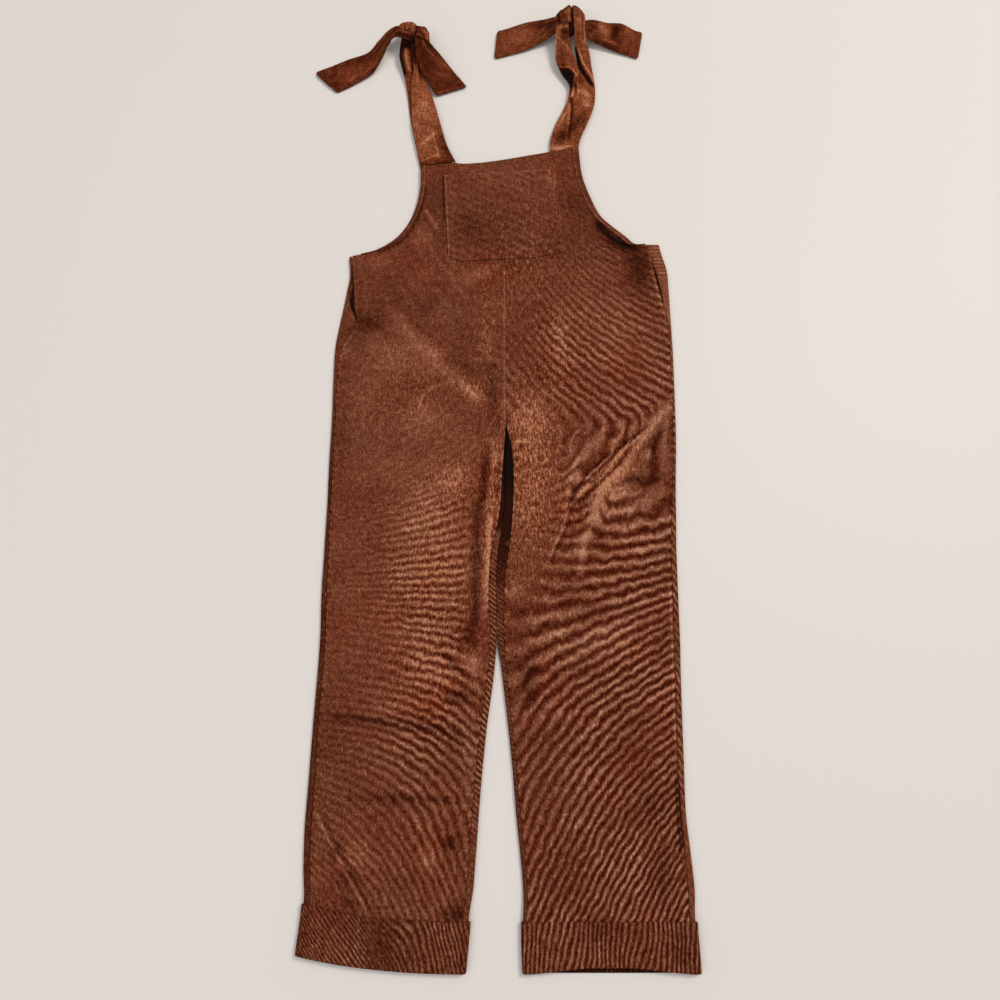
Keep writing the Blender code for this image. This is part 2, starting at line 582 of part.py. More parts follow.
def strip_rows(name):
    sections = STRIPS[name]
    lefts = [s[0] for s in sections]
    rights = [s[1] for s in sections]
    count = 2 * len(sections) - 1
    rows = []
    for j in range(count):
        at = j / (count - 1) * (len(sections) - 1)
        keys = list(range(len(sections)))
        left = Vector([smooth_between(keys, [p[i] for p in lefts], at) for i in range(3)])
        right = Vector([smooth_between(keys, [p[i] for p in rights], at) for i in range(3)])
        crown = 0.0006 * ease(0.0, 1.0, at)
        row = []
        for k in range(STRIP_COLUMNS + 1):
            share = k / STRIP_COLUMNS
            point = left.lerp(right, share)
            point.z += crown * math.sin(math.pi * share)
            row.append(point)
        rows.append(row)
    return rows


def corduroy(name, colour):
    material = bpy.data.materials.new(name)
    material.use_nodes = True
    shader = material.node_tree.nodes["Principled BSDF"]
    shader.inputs["Base Color"].default_value = (*colour, 1.0)
    shader.inputs["Roughness"].default_value = 0.9
    shader.inputs["Metallic"].default_value = 0.0
    material.diffuse_color = (*colour, 1.0)
    return material


def add_object(name, mesh, garment, collection, colour):
    piece = bpy.data.objects.new(name, mesh)
    collection.objects.link(piece)
    piece.parent = garment
    mesh.materials.append(corduroy(name, colour))
    return piece


def sheet(name, rows, thickness, garment, collection, colour=BROWN, face_up=True, left_out=None):
    # A wall of cloth whose outer face runs through rows of points; left_out names cells cut away
    columns = len(rows[0])
    bm = bmesh.new()
    bmesh.ops.create_grid(bm, x_segments=columns - 1, y_segments=len(rows) - 1, size=0.5)
    if left_out:
        cut = []
        for face in bm.faces:
            middle = face.calc_center_median()
            column = math.floor((middle.x + 0.5) * (columns - 1))
            row = math.floor((middle.y + 0.5) * (len(rows) - 1))
            if left_out(column, row):
                cut.append(face)
        bmesh.ops.delete(bm, geom=cut, context="FACES")
    for vert in bm.verts:
        i = round((vert.co.x + 0.5) * (columns - 1))
        j = round((vert.co.y + 0.5) * (len(rows) - 1))
        vert.co = rows[j][i]
    bm.normal_update()
    upward = sum(face.normal.z * face.calc_area() for face in bm.faces)
    if (upward > 0) != face_up:
        bmesh.ops.reverse_faces(bm, faces=bm.faces)
    mesh = bpy.data.meshes.new(name)
    bm.to_mesh(mesh)
    bm.free()
    mesh.shade_smooth()
    piece = add_object(name, mesh, garment, collection, colour)
    wall = piece.modifiers.new("wall", "SOLIDIFY")
    wall.thickness = thickness
    wall.offset = -1.0
    return piece


def knot_mesh(name, spec, grow):
    # A rounded lump with turns of cloth wrapped across it, flat where it lies on the table
    bm = bmesh.new()
    bmesh.ops.create_uvsphere(bm, u_segments=KNOT_SEGMENTS, v_segments=KNOT_RINGS, radius=1.0)
    turn = math.radians(spec["turn"])
    half_x, half_y = (h + grow for h in spec["half"])
    half_z = spec["height"] / 2 + grow
    for vert in bm.verts:
        x, y, z = vert.co
        swell = (abs(x) ** 3 + abs(y) ** 3 + abs(z) ** 3) ** (-1 / 3)
        turns = KNOT_WRAPS * (x + KNOT_SLANT * y + 1.0) / 2
        groove = 1.0 - KNOT_GROOVE * (0.5 - 0.5 * math.cos(2 * math.pi * turns)) ** 2
        x, y, z = (c * mix(1.0, swell, KNOT_SQUARE) * groove for c in (x, y, z))
        x, y, z = x * half_x, y * half_y, z * half_z + spec["height"] / 2
        vert.co = (spec["middle"][0] + x * math.cos(turn) - y * math.sin(turn),
                   spec["middle"][1] + x * math.sin(turn) + y * math.cos(turn),
                   max(z, KNOT_UNDERSIDE - grow))
    mesh = bpy.data.meshes.new(name)
    bm.to_mesh(mesh)
    bm.free()
    mesh.shade_smooth()
    return mesh


def add_knots(garment, collection, cutters):
    for name, spec in KNOTS.items():
        add_object(name, knot_mesh(name, spec, 0.0), garment, collection, LIGHT_BROWN)
        cutter = bpy.data.objects.new(name + "_cutter", knot_mesh(name + "_cutter", spec, GAP))
        cutters.objects.link(cutter)
        cutter.parent = garment
        cutter.hide_render = True
        cutter.display_type = "WIRE"
        for held in spec["holds"]:
            cut = bpy.data.objects[held].modifiers.new("knot", "BOOLEAN")
            cut.operation = "DIFFERENCE"
            cut.object = cutter


def add_side(side, garment, collection):
    name = side.name
    sheet("back_" + name, back_rows(side), CLOTH, garment, collection, face_up=False,
          left_out=above_side_seam(side))
    sheet("front_" + name, front_rows(side), CLOTH, garment, collection)
    sheet(f"cuff_{name}_back", cuff_back_rows(side), DOUBLE, garment, collection, face_up=False)
    sheet(f"cuff_{name}_front", cuff_front_rows(side), DOUBLE, garment, collection)
    sheet("armhole_band_" + name, band_rows(side), CLOTH, garment, collection)
    sheet("side_pocket_" + name, side_pocket_rows(side), CLOTH, garment, collection)


def clear_scene():
    for old in list(bpy.data.objects):
        bpy.data.objects.remove(old, do_unlink=True)


def new_collection(name):
    collection = bpy.data.collections.new(name)
    bpy.context.scene.collection.children.link(collection)
    return collection


def main():
    clear_scene()
    collection = new_collection("bib_overalls")
    cutters = new_collection("cutters")
    garment = bpy.data.objects.new("garment", None)
    garment.location = (-MIDDLE_X, -MIDDLE_Y, 0.0)
    collection.objects.link(garment)
    for side in (LEFT, RIGHT):
        add_side(side, garment, collection)
    sheet("bib_pocket", pocket_rows(), CLOTH, garment, collection)
    for name in STRIPS:
        sheet(name, strip_rows(name), DOUBLE, garment, collection, LIGHT_BROWN)
    add_knots(garment, collection, cutters)
    bpy.context.view_layer.update()


main()
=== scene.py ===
import math

import bpy
import numpy as np
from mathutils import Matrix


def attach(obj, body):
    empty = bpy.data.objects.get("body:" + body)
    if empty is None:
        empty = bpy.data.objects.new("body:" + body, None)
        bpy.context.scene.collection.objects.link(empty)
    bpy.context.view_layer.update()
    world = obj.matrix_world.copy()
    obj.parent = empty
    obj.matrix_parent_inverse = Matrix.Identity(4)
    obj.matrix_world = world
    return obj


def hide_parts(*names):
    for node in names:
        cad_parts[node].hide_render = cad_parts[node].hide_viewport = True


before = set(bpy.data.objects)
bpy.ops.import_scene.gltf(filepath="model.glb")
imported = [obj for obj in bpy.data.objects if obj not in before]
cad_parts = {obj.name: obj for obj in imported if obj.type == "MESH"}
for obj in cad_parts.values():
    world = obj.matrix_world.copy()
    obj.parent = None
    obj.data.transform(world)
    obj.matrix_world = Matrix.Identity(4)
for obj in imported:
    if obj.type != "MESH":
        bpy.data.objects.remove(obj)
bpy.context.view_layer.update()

# Bib overalls in fine corduroy, laid flat with the straps tied at the shoulders.
# Garment measures run up from the left hem, X across and Y along, in metres; middle moves them
# to the frame.
middle = np.array((-0.0270, 0.7194, 0.0))
cloth = {"wall": 0.0013, "double": 0.0022, "gap": 0.0004}
# heights of the outer face: fronts, rolled edges, web under the crotch, what the bib has more,
# legs inside the turn-ups, and the lowest that a front may lie
levels = {"front": 0.0043, "edge": 0.0052, "web": 0.0021, "bib": 0.0009, "inCuff": 0.0040,
          "lowest": 0.0031}
turnUp = {"depth": 0.0555, "rampFrom": 0.004, "ramp": 0.040, "legStart": 0.006}
turnUp["face"] = levels["inCuff"] + 2 * (cloth["double"] + cloth["gap"])
crotch = 0.699
centreSeam = {"x": 0.0085, "bendsAt": 0.935, "top": (-0.0060, 1.1490)}
backTop = 1.105
bibSag = {"from": -0.0705, "to": 0.0795, "depth": 0.0058, "skew": 0.6, "fadesFrom": 1.060}
# height of the unevenness of the rolled edges and of the fronts' broad swell, and the height, length
# and seed of each ripple
drape = {"crest": 0.0003, "swell": 0.00025, "ripples": ((0.00016, 0.055, 0.7), (0.0001, 0.023, 2.1))}
bibRamp = (0.98, 1.05)               # heights between which the bib rises over the rest
riseLook = {"power": 2.4, "endsAt": 0.30}
unrolling = 0.018                    # length over which an inner edge goes from rolled to flat
# where rows and columns stand on a rounded edge, as shares of its rounding
edgeShares = np.array((0.0, 0.13, 0.4, 1.0))
rounding = cloth["wall"] / 2


def mix(a, b, share):
    return a + (b - a) * share


def ease(low, high, value):
    share = np.clip((value - low) / (high - low), 0.0, 1.0)
    return share * share * (3.0 - 2.0 * share)


def bell(distance, width):
    return np.exp(-((distance / width) ** 2))


def layers(*values):
    # one vector for each point, from values for each point or for all
    return np.stack(np.broadcast_arrays(*values), axis=-1)


def runAlong(points, axis=0):
    # distance along each line of points from its first one
    lengths = np.linalg.norm(np.diff(points, axis=axis), axis=-1)
    return np.insert(np.cumsum(lengths, axis=axis), 0, 0.0, axis=axis)


def curve(keys, values):
    # a smooth line through the values, read at any places between the keys
    keys, values = np.array(keys, float), np.array(values, float)
    last = len(keys) - 1
    before, after = np.maximum(np.arange(last + 1) - 1, 0), np.minimum(np.arange(last + 1) + 1, last)
    slopes = ((values[after] - values[before]).T / (keys[after] - keys[before])).T

    def read(at):
        at = np.clip(np.asarray(at, float), keys[0], keys[-1])
        k = np.clip(np.searchsorted(keys, at, side="right") - 1, 0, last - 1)
        span = keys[k + 1] - keys[k]
        t = (at - keys[k]) / span
        if values.ndim > 1:
            t, span = t[..., None], span[..., None]
        start, end = 2 * t**3 - 3 * t**2 + 1, 3 * t**2 - 2 * t**3
        leave, arrive = (t**3 - 2 * t**2 + t) * span, (t**3 - t**2) * span
        return start * values[k] + leave * slopes[k] + end * values[k + 1] + arrive * slopes[k + 1]

    return read


def column(table, k):
    # a smooth line through one column of a table, over its first column
    return curve([row[0] for row in table], [row[k] for row in table])


def alongLine(points):
    # a smooth line through points, read at shares of its length
    run = runAlong(np.array(points, float))
    return curve(run / run[-1], points)


def waves(x, y, size, seed):
    # soft uneven waves between about -1 and 1, size metres long
    k = 2 * math.pi / size
    broad = np.sin(k * (x * 0.9 + y * 0.31) + seed) * np.sin(k * (y * 0.83 - x * 0.27) + 1.7 * seed)
    fine = 0.6 * np.sin(k * (x * 1.7 - y * 1.1) + 2.3 * seed) * np.sin(k * (y * 1.9 + x * 0.5) + seed)
    return (broad + fine) / 1.4


def ripples(x, y, rows):
    # waves of some heights, lengths and seeds together
    return sum(height * waves(x, y, size, seed) for height, size, seed in rows)


# The two halves of the garment: folded edges and the seams beside them at heights up the garment.
columns = ("y", "outerEdge", "outerSeam", "innerSeam", "innerEdge")
leftSections = (
    (0.0, -0.2435, -0.2345, -0.0485, -0.04),
    (0.055, -0.2395, -0.2305, -0.0435, -0.035),
    (0.142, -0.242, -0.2335, -0.037, -0.0285),
    (0.205, -0.241, -0.2325, -0.0325, -0.024),
    (0.277, -0.24, -0.233, -0.0255, -0.017),
    (0.344, -0.2385, -0.231, -0.0165, -0.008),
    (0.39, -0.238, -0.2305, -0.0135, -0.0047),
    (0.453, -0.24, -0.2325, -0.015, -0.006),
    (0.497, -0.24, -0.2335, -0.013, -0.0045),
    (0.52, -0.24, -0.234, -0.0095, -0.0022),
    (0.545, -0.24, -0.2345, -0.004, 0.002),
    (0.575, -0.24, -0.235, 0.0005, 0.0062),
    (0.633, -0.241, -0.2358, 0.004, 0.0075),
    (0.699, -0.2412, -0.2362, 0.0085, 0.0085),
    (0.774, -0.243, -0.2375, 0.0085, 0.0085),
    (0.815, -0.243, -0.233, 0.0085, 0.0085),
    (0.857, -0.238, -0.214, 0.0085, 0.0085),
    (0.88, -0.2345, -0.2178, 0.0085, 0.0085),
    (0.908, -0.231, -0.22, 0.0085, 0.0085),
    (0.935, -0.228, -0.2232, 0.0085, 0.0085),
    (0.968, -0.231, -0.2262, 0.0065, 0.0065),
)
rightSections = (
    (0.0, 0.238, 0.2295, 0.0315, 0.026),
    (0.057, 0.237, 0.2285, 0.0305, 0.025),
    (0.09, 0.2365, 0.228, 0.0335, 0.0278),
    (0.127, 0.2345, 0.226, 0.0305, 0.025),
    (0.176, 0.2315, 0.223, 0.0255, 0.02),
    (0.237, 0.233, 0.2245, 0.0205, 0.015),
    (0.317, 0.2352, 0.2265, 0.0115, 0.006),
    (0.353, 0.2365, 0.2285, 0.0085, 0.0015),
    (0.385, 0.238, 0.23, 0.0055, -0.0036),
    (0.43, 0.239, 0.231, 0.0055, -0.005),
    (0.462, 0.2398, 0.232, 0.0065, -0.0051),
    (0.49, 0.2405, 0.2325, 0.0092, -0.0041),
    (0.515, 0.2412, 0.233, 0.0125, -0.0019),
    (0.545, 0.243, 0.2355, 0.016, 0.0026),
    (0.575, 0.2445, 0.2385, 0.018, 0.0066),
    (0.61, 0.2465, 0.2415, 0.019, 0.0075),
    (0.658, 0.25, 0.2455, 0.0165, 0.008),
    (0.699, 0.252, 0.2478, 0.0085, 0.0085),
    (0.806, 0.2548, 0.251, 0.0085, 0.0085),
    (0.838, 0.2549, 0.2511, 0.0085, 0.0085),
    (0.877, 0.2548, 0.2458, 0.0085, 0.0085),
    (0.911, 0.2549, 0.2396, 0.0085, 0.0085),
    (0.945, 0.254, 0.2333, 0.0085, 0.0085),
    (0.976, 0.2468, 0.2288, 0.006, 0.006),
    (0.991, 0.2445, 0.2245, 0.005, 0.005),
)

halves = {
    "left": {
        "sign": -1, "sections": leftSections, "hemRise": 0.0195, "hemArch": 0.0006, "sideTop": 0.968,
        "bandWidth": 0.008, "bandCrest": 0.0006,
        # from, to and width of each opening in the side seam, the hip pocket's first
        "openings": ((0.858, 0.955, 0.0080),),
        # puckers of the rolled edges: a metre along and across, strength, tone
        "ropes": {"outer": (150, 110, 0.10, -0.19), "inner": (150, -110, 0.85, -0.03)},
        "armhole": (
            (-0.2258, 0.97), (-0.209, 0.974), (-0.19, 0.98), (-0.167, 0.995), (-0.154, 1.008),
            (-0.14, 1.031), (-0.131, 1.057), (-0.126, 1.088), (-0.1255, 1.111), (-0.126, 1.133),
        ),
        "backEdge": ((0.968, -0.2), (0.975, -0.186), (1.01, -0.148), (1.05, -0.129), (1.105, -0.1225)),
        # how far the wales lean: x of one wale at heights up the garment
        "waleLine": (
            (0.0, -0.026), (0.3, -0.013), (0.55, -0.002), (0.7, 0.0), (0.93, 0.0), (1.15, -0.013),
        ),
        # light and dark stripes of the nap: height, stripes a metre along and across,
        # and how much their lean changes across
        "stripes": (
            (0.0, 40, 112, 0), (0.1, 50, 96, 0), (0.155, 32, 78, 60), (0.215, 58, 60, 100),
            (0.275, 78, 48, 140), (0.335, 72, 28, 60), (0.4, 84, 14, 0), (0.47, 88, -5, 0),
            (0.54, 80, -21, 0), (0.61, 90, -46, 0), (0.685, 66, -50, 0), (0.8, 40, 10, 0),
            (1.0, 40, 60, 0), (1.15, 30, 80, 0),
        ),
        # place across where the stripes' lean starts, and their strength on the leg and above it
        "stripesFrom": -0.075, "stripesPlain": (0.16, 0.10),
        # height where the inner edge stops rolling, least shade beside the gap, tone beside the hip
        "flatFrom": 0.530, "web": 0.0, "hipTone": -0.04,
    },
    "right": {
        "sign": 1, "sections": rightSections, "hemRise": 0.0, "hemArch": 0.0074, "sideTop": 0.989,
        "bandWidth": 0.011, "bandCrest": 0.0016,
        "openings": ((0.880, 0.968, 0.0030), (0.126, 0.224, 0.0022)),
        "ropes": {"outer": (76, 112, 0.65, 0.01), "inner": (150, 110, 0.40, -0.12)},
        "armhole": (
            (0.2242, 0.991), (0.208, 0.99), (0.193, 1.004), (0.174, 1.021), (0.156, 1.041), (0.14, 1.079),
            (0.13, 1.115), (0.127, 1.149), (0.126, 1.167),
        ),
        "backEdge": ((0.989, 0.21), (0.996, 0.195), (1.02, 0.164), (1.06, 0.14), (1.105, 0.128)),
        "waleLine": ((0.0, 0.0), (0.4, 0.002), (0.7, 0.0), (0.93, 0.0), (1.15, -0.013)),
        "stripes": (
            (0.0, -60, 116, 60), (0.1, -64, 103, 70), (0.16, -60, 88, 60), (0.215, -63, 71, 40),
            (0.275, -63, 57, 0), (0.335, -70, 44, 60), (0.4, -62, 28, 100), (0.47, -60, 9, 90),
            (0.54, -53, 2, 60), (0.61, -38, 24, 0), (0.66, -28, 42, 0), (0.69, -8, 46, 0),
            (0.705, 44, 46, -20), (0.74, 58, 48, -60), (0.8, 64, 54, -90), (0.86, 66, 58, -110),
            (0.93, 74, 68, -200), (1.0, 92, 84, -240), (1.15, 60, 110, 0),
        ),
        "stripesFrom": 0.14, "stripesPlain": (1.0, 0.9),
        "flatFrom": 0.512, "web": 0.85, "hipTone": 0.12,
    },
}
for half in halves.values():
    half["at"] = {name: column(half["sections"], k) for k, name in enumerate(columns) if k}
    half["upperEdge"] = column(half["backEdge"], 1)

# folds and creases of the fronts: route, half width uphill and downhill, height above the cloth around
besideFold = ((0.149, 0.692), (0.132, 0.671), (0.114, 0.650), (0.101, 0.616), (0.092, 0.582),
              (0.091, 0.559))
folds = (
    (((0.251, 0.728), (0.218, 0.69), (0.195, 0.66), (0.176, 0.629), (0.15, 0.602), (0.136, 0.577),
      (0.127, 0.548), (0.112, 0.51)), 0.011, 0.014, 0.0058),
    (((0.225, 0.704), (0.204, 0.679), (0.16, 0.645), (0.136, 0.624), (0.113, 0.6), (0.1, 0.577)),
      0.0035, 0.003, 0.0012),
    (((0.225, 0.708), (0.206, 0.686), (0.158, 0.651), (0.132, 0.631), (0.108, 0.606), (0.095, 0.58)),
      0.006, 0.006, -0.0016),
    (besideFold, 0.009, 0.009, 0.0016),
    (((0.234, 0.69), (0.221, 0.667), (0.216, 0.647), (0.208, 0.626)), 0.006, 0.006, -0.0012),
    (((-0.017, 0.65), (-0.032, 0.519), (-0.039, 0.4)), 0.007, 0.007, -0.0012),
    (((0.0, 0.655), (-0.017, 0.54), (-0.025, 0.43)), 0.009, 0.009, 0.0016),
    (((-0.2, 0.845), (-0.13, 0.775), (-0.06, 0.735)), 0.018, 0.018, 0.0012),
    (((-0.205, 0.975), (-0.2, 0.91), (-0.196, 0.85)), 0.024, 0.024, 0.0026),
    (((0.215, 0.975), (0.232, 0.925), (0.237, 0.87)), 0.022, 0.022, 0.0026),
    (((0.135, 1.07), (0.165, 1.005), (0.2, 0.965)), 0.012, 0.012, -0.0008),
    (((-0.19, 0.3), (-0.12, 0.345), (-0.07, 0.35)), 0.02, 0.02, 0.001),
    (((0.07, 0.33), (0.14, 0.3), (0.2, 0.31)), 0.02, 0.02, 0.001),
)


def ridge(x, y, route, left, right, height, taper=0.3, start=0.06):
    # height of one ridge or trough along a route, fading out at its ends
    route = alongLine(route)(np.linspace(0.0, 1.0, 25))
    steps = np.diff(route, axis=0)
    lengths = np.linalg.norm(steps, axis=1)
    run = runAlong(route)
    total = run[-1]
    reach = max(left, right) * 2.6
    (lowX, lowY), (highX, highY) = route.min(axis=0) - reach, route.max(axis=0) + reach
    near = (x > lowX) & (x < highX) & (y > lowY) & (y < highY)
    result = np.zeros_like(x)
    if not near.any():
        return result
    here = layers(x[near], y[near])[:, None, :] - route[None, :-1, :]
    share = np.clip((here * steps).sum(axis=-1) / lengths**2, 0.0, 1.0)
    offset = here - share[..., None] * steps
    distance = np.linalg.norm(offset, axis=-1)
    nearest = distance.argmin(axis=1)
    pick = np.arange(len(nearest))
    along = run[nearest] + share[pick, nearest] * lengths[nearest]
    across = steps[nearest, 0] * offset[pick, nearest, 1] - steps[nearest, 1] * offset[pick, nearest, 0]
    width = np.where(across > 0, left, right)
    fade = ease(0.0, taper * total, np.minimum(along, total - along) + start * total)
    result[near] = height * fade * bell(distance[pick, nearest], width)
    return result


def lines(x, y, rows):
    # ridges of the same half width on both sides: route, half width, strength
    return sum(ridge(x, y, route, size, size, strength, 0.15, 0.05) for route, size, strength in rows)


def turned(x, y, degrees):
    c, s = math.cos(math.radians(degrees)), math.sin(math.radians(degrees))
    return x * c + y * s, y * c - x * s


def patches(x, y, spots):
    # soft spots: x, y, half width, half length, turn in degrees, strength
    total = np.zeros_like(x)
    for spotX, spotY, halfX, halfY, turn, strength in spots:
        u, v = turned(x - spotX, y - spotY, turn)
        total += strength * np.exp(-((u / halfX) ** 2 + (v / halfY) ** 2))
    return total


def insideCuff(y):
    return 1.0 - ease(turnUp["depth"] + turnUp["rampFrom"], turnUp["depth"] + turnUp["ramp"], y)


def cuffRoom(y):
    # what the turned cloth takes beneath and at the sides of a leg inside its turn-up
    return (cloth["double"] + cloth["gap"]) * insideCuff(y)


def rolledShare(half, y):
    # 1 where the inner edge is rolled, 0 where it lies flat under the other leg's
    return 1.0 - ease(half["flatFrom"], half["flatFrom"] + unrolling, y)


def edgeTop(y):
    crest = levels["edge"] + drape["crest"] * np.sin(41 * y) * np.sin(97 * y + 1.0)
    return mix(crest, levels["inCuff"], insideCuff(y))


def frontLevel(y):
    return mix(levels["front"], levels["inCuff"], insideCuff(y))


def foldHeight(x, y):
    return sum(ridge(x, y, *fold) for fold in folds)


def frontHeight(x, y):
    # face of the fronts away from their edges
    base = frontLevel(y) + levels["bib"] * ease(*bibRamp, y)
    swell = drape["swell"] * np.sin(27 * x + 9 * y) * np.sin(19 * y - 5 * x + 1.0)
    height = base + (1.0 - insideCuff(y)) * (swell + ripples(x, y, drape["ripples"]) + foldHeight(x, y))
    low, sharpness = levels["lowest"], 6000
    return low + np.logaddexp(0.0, (height - low) * sharpness) / sharpness


def centreX(y):
    lean = np.maximum(y - centreSeam["bendsAt"], 0.0) / (centreSeam["top"][1] - centreSeam["bendsAt"])
    return mix(centreSeam["x"], centreSeam["top"][0], lean)


def rise(half, x, y):
    # the left hem and turn-up slope up to their outer edge, and the leg takes that up
    outer, inner = half["at"]["outerEdge"](y), half["at"]["innerEdge"](y)
    share = np.clip((x - inner) / (outer - inner), 0.0, 1.0)
    fade = 1.0 - ease(turnUp["depth"], riseLook["endsAt"], y)
    return half["hemRise"] * share ** riseLook["power"] * fade


def sag(x, y):
    # how far the bib's top edge hangs down between the straps
    share = np.clip((x - bibSag["from"]) / (bibSag["to"] - bibSag["from"]), 0.0, 1.0)
    fade = ease(bibSag["fadesFrom"], halves["left"]["armhole"][-1][1], y)
    return bibSag["depth"] * np.sin(math.pi * share ** bibSag["skew"]) * fade


def openingWidth(half, y):
    return sum(width * np.sin(math.pi * np.clip((y - low) / (high - low), 0.0, 1.0))
               for low, high, width in half["openings"])


def places(length, step, margin):
    # distances from one edge to the other, closer together where the edge is rounded
    near = edgeShares * margin
    count = max(round((length - 2 * margin) / step), 2)
    inner = np.linspace(margin, length - margin, count + 1)[1:-1]
    return np.concatenate((near, inner, length - near[::-1]))


def normalsOf(grid):
    along, across = np.gradient(grid, axis=0), np.gradient(grid, axis=1)
    normals = np.cross(across, along)
    return normals / np.maximum(np.linalg.norm(normals, axis=-1, keepdims=True), 1e-12)


def edgeProfile(grid, axis, margin):
    # thickness share from an edge inwards: a quarter round
    run = runAlong(grid, axis)
    inside = np.minimum(np.minimum(run, np.take(run, [-1], axis=axis) - run) / margin, 1.0)
    return np.sqrt(np.maximum(1.0 - (1.0 - inside) ** 2, 0.0))


def onBorder(rows, cols):
    border = np.ones((rows, cols), bool)
    border[1:-1, 1:-1] = False
    return border


def gridFaces(rows, cols):
    index = np.arange(rows * cols).reshape(rows, cols)
    corners = (index[:-1, :-1], index[:-1, 1:], index[1:, 1:], index[1:, :-1])
    return np.stack(corners, axis=-1).reshape(-1, 4)


def dress(mesh, grain, look, material):
    # keeps the grain and the look of the cloth on its points
    for key, data in (("grain", grain), ("look", look)):
        attribute = mesh.attributes.new(key, "FLOAT_VECTOR", "POINT")
        attribute.data.foreach_set("vector", np.asarray(data, np.float32).ravel())
    mesh.materials.append(material)
    mesh.shade_smooth()
    mesh.update()


def meshFrom(name, points, faces, grain, look, material):
    # one object from the points that its faces use
    used = np.unique(faces)
    mesh = bpy.data.meshes.new(name)
    mesh.from_pydata((points[used] - middle).tolist(), [], np.searchsorted(used, faces).tolist())
    dress(mesh, grain[used], look[used], material)
    piece = bpy.data.objects.new(name, mesh)
    bpy.context.scene.collection.objects.link(piece)
    return piece


def flatList(vectors, shape):
    return np.broadcast_to(vectors, shape).reshape(-1, 3)


def clothShell(name, face, thickness, material, grain, look, margins=None, up=True, inside=0.0):
    # a wall of cloth whose outer face is the grid, closed by rounded edges on all four sides;
    # margins of the rounding at the ends of the columns and of the rows, tone of the inside: the cloth's
    # plain wrong side, darkened by painted shade
    margins = margins or (thickness / 2, thickness / 2)
    rows, cols = face.shape[:2]
    border = onBorder(rows, cols)
    normals = normalsOf(face)
    if (normals[..., 2].mean() > 0) != up:
        normals = -normals
    profile = edgeProfile(face, 0, margins[0]) * edgeProfile(face, 1, margins[1])
    profile[border] = 0.0
    core = face - normals * thickness / 2
    reach = normals * (profile * thickness / 2)[..., None]
    points = np.concatenate(((core + reach).reshape(-1, 3), (core - reach).reshape(-1, 3)))
    top = gridFaces(rows, cols)
    if np.cross(face[0, 1] - face[0, 0], face[1, 0] - face[0, 0]) @ normals[0, 0] < 0:
        top = top[:, ::-1]
    # the under side has its own points, but for the border's
    index = np.arange(rows * cols)
    under = np.where(border.ravel(), index, index + rows * cols)
    faces = np.concatenate((top, under[top[:, ::-1]]))
    grain, look = flatList(grain, face.shape), flatList(look, face.shape)
    looks = np.concatenate((look, look + np.array((inside, 0.0, 0.0))))
    return meshFrom(name, points, faces, np.tile(grain, (2, 1)), looks, material)
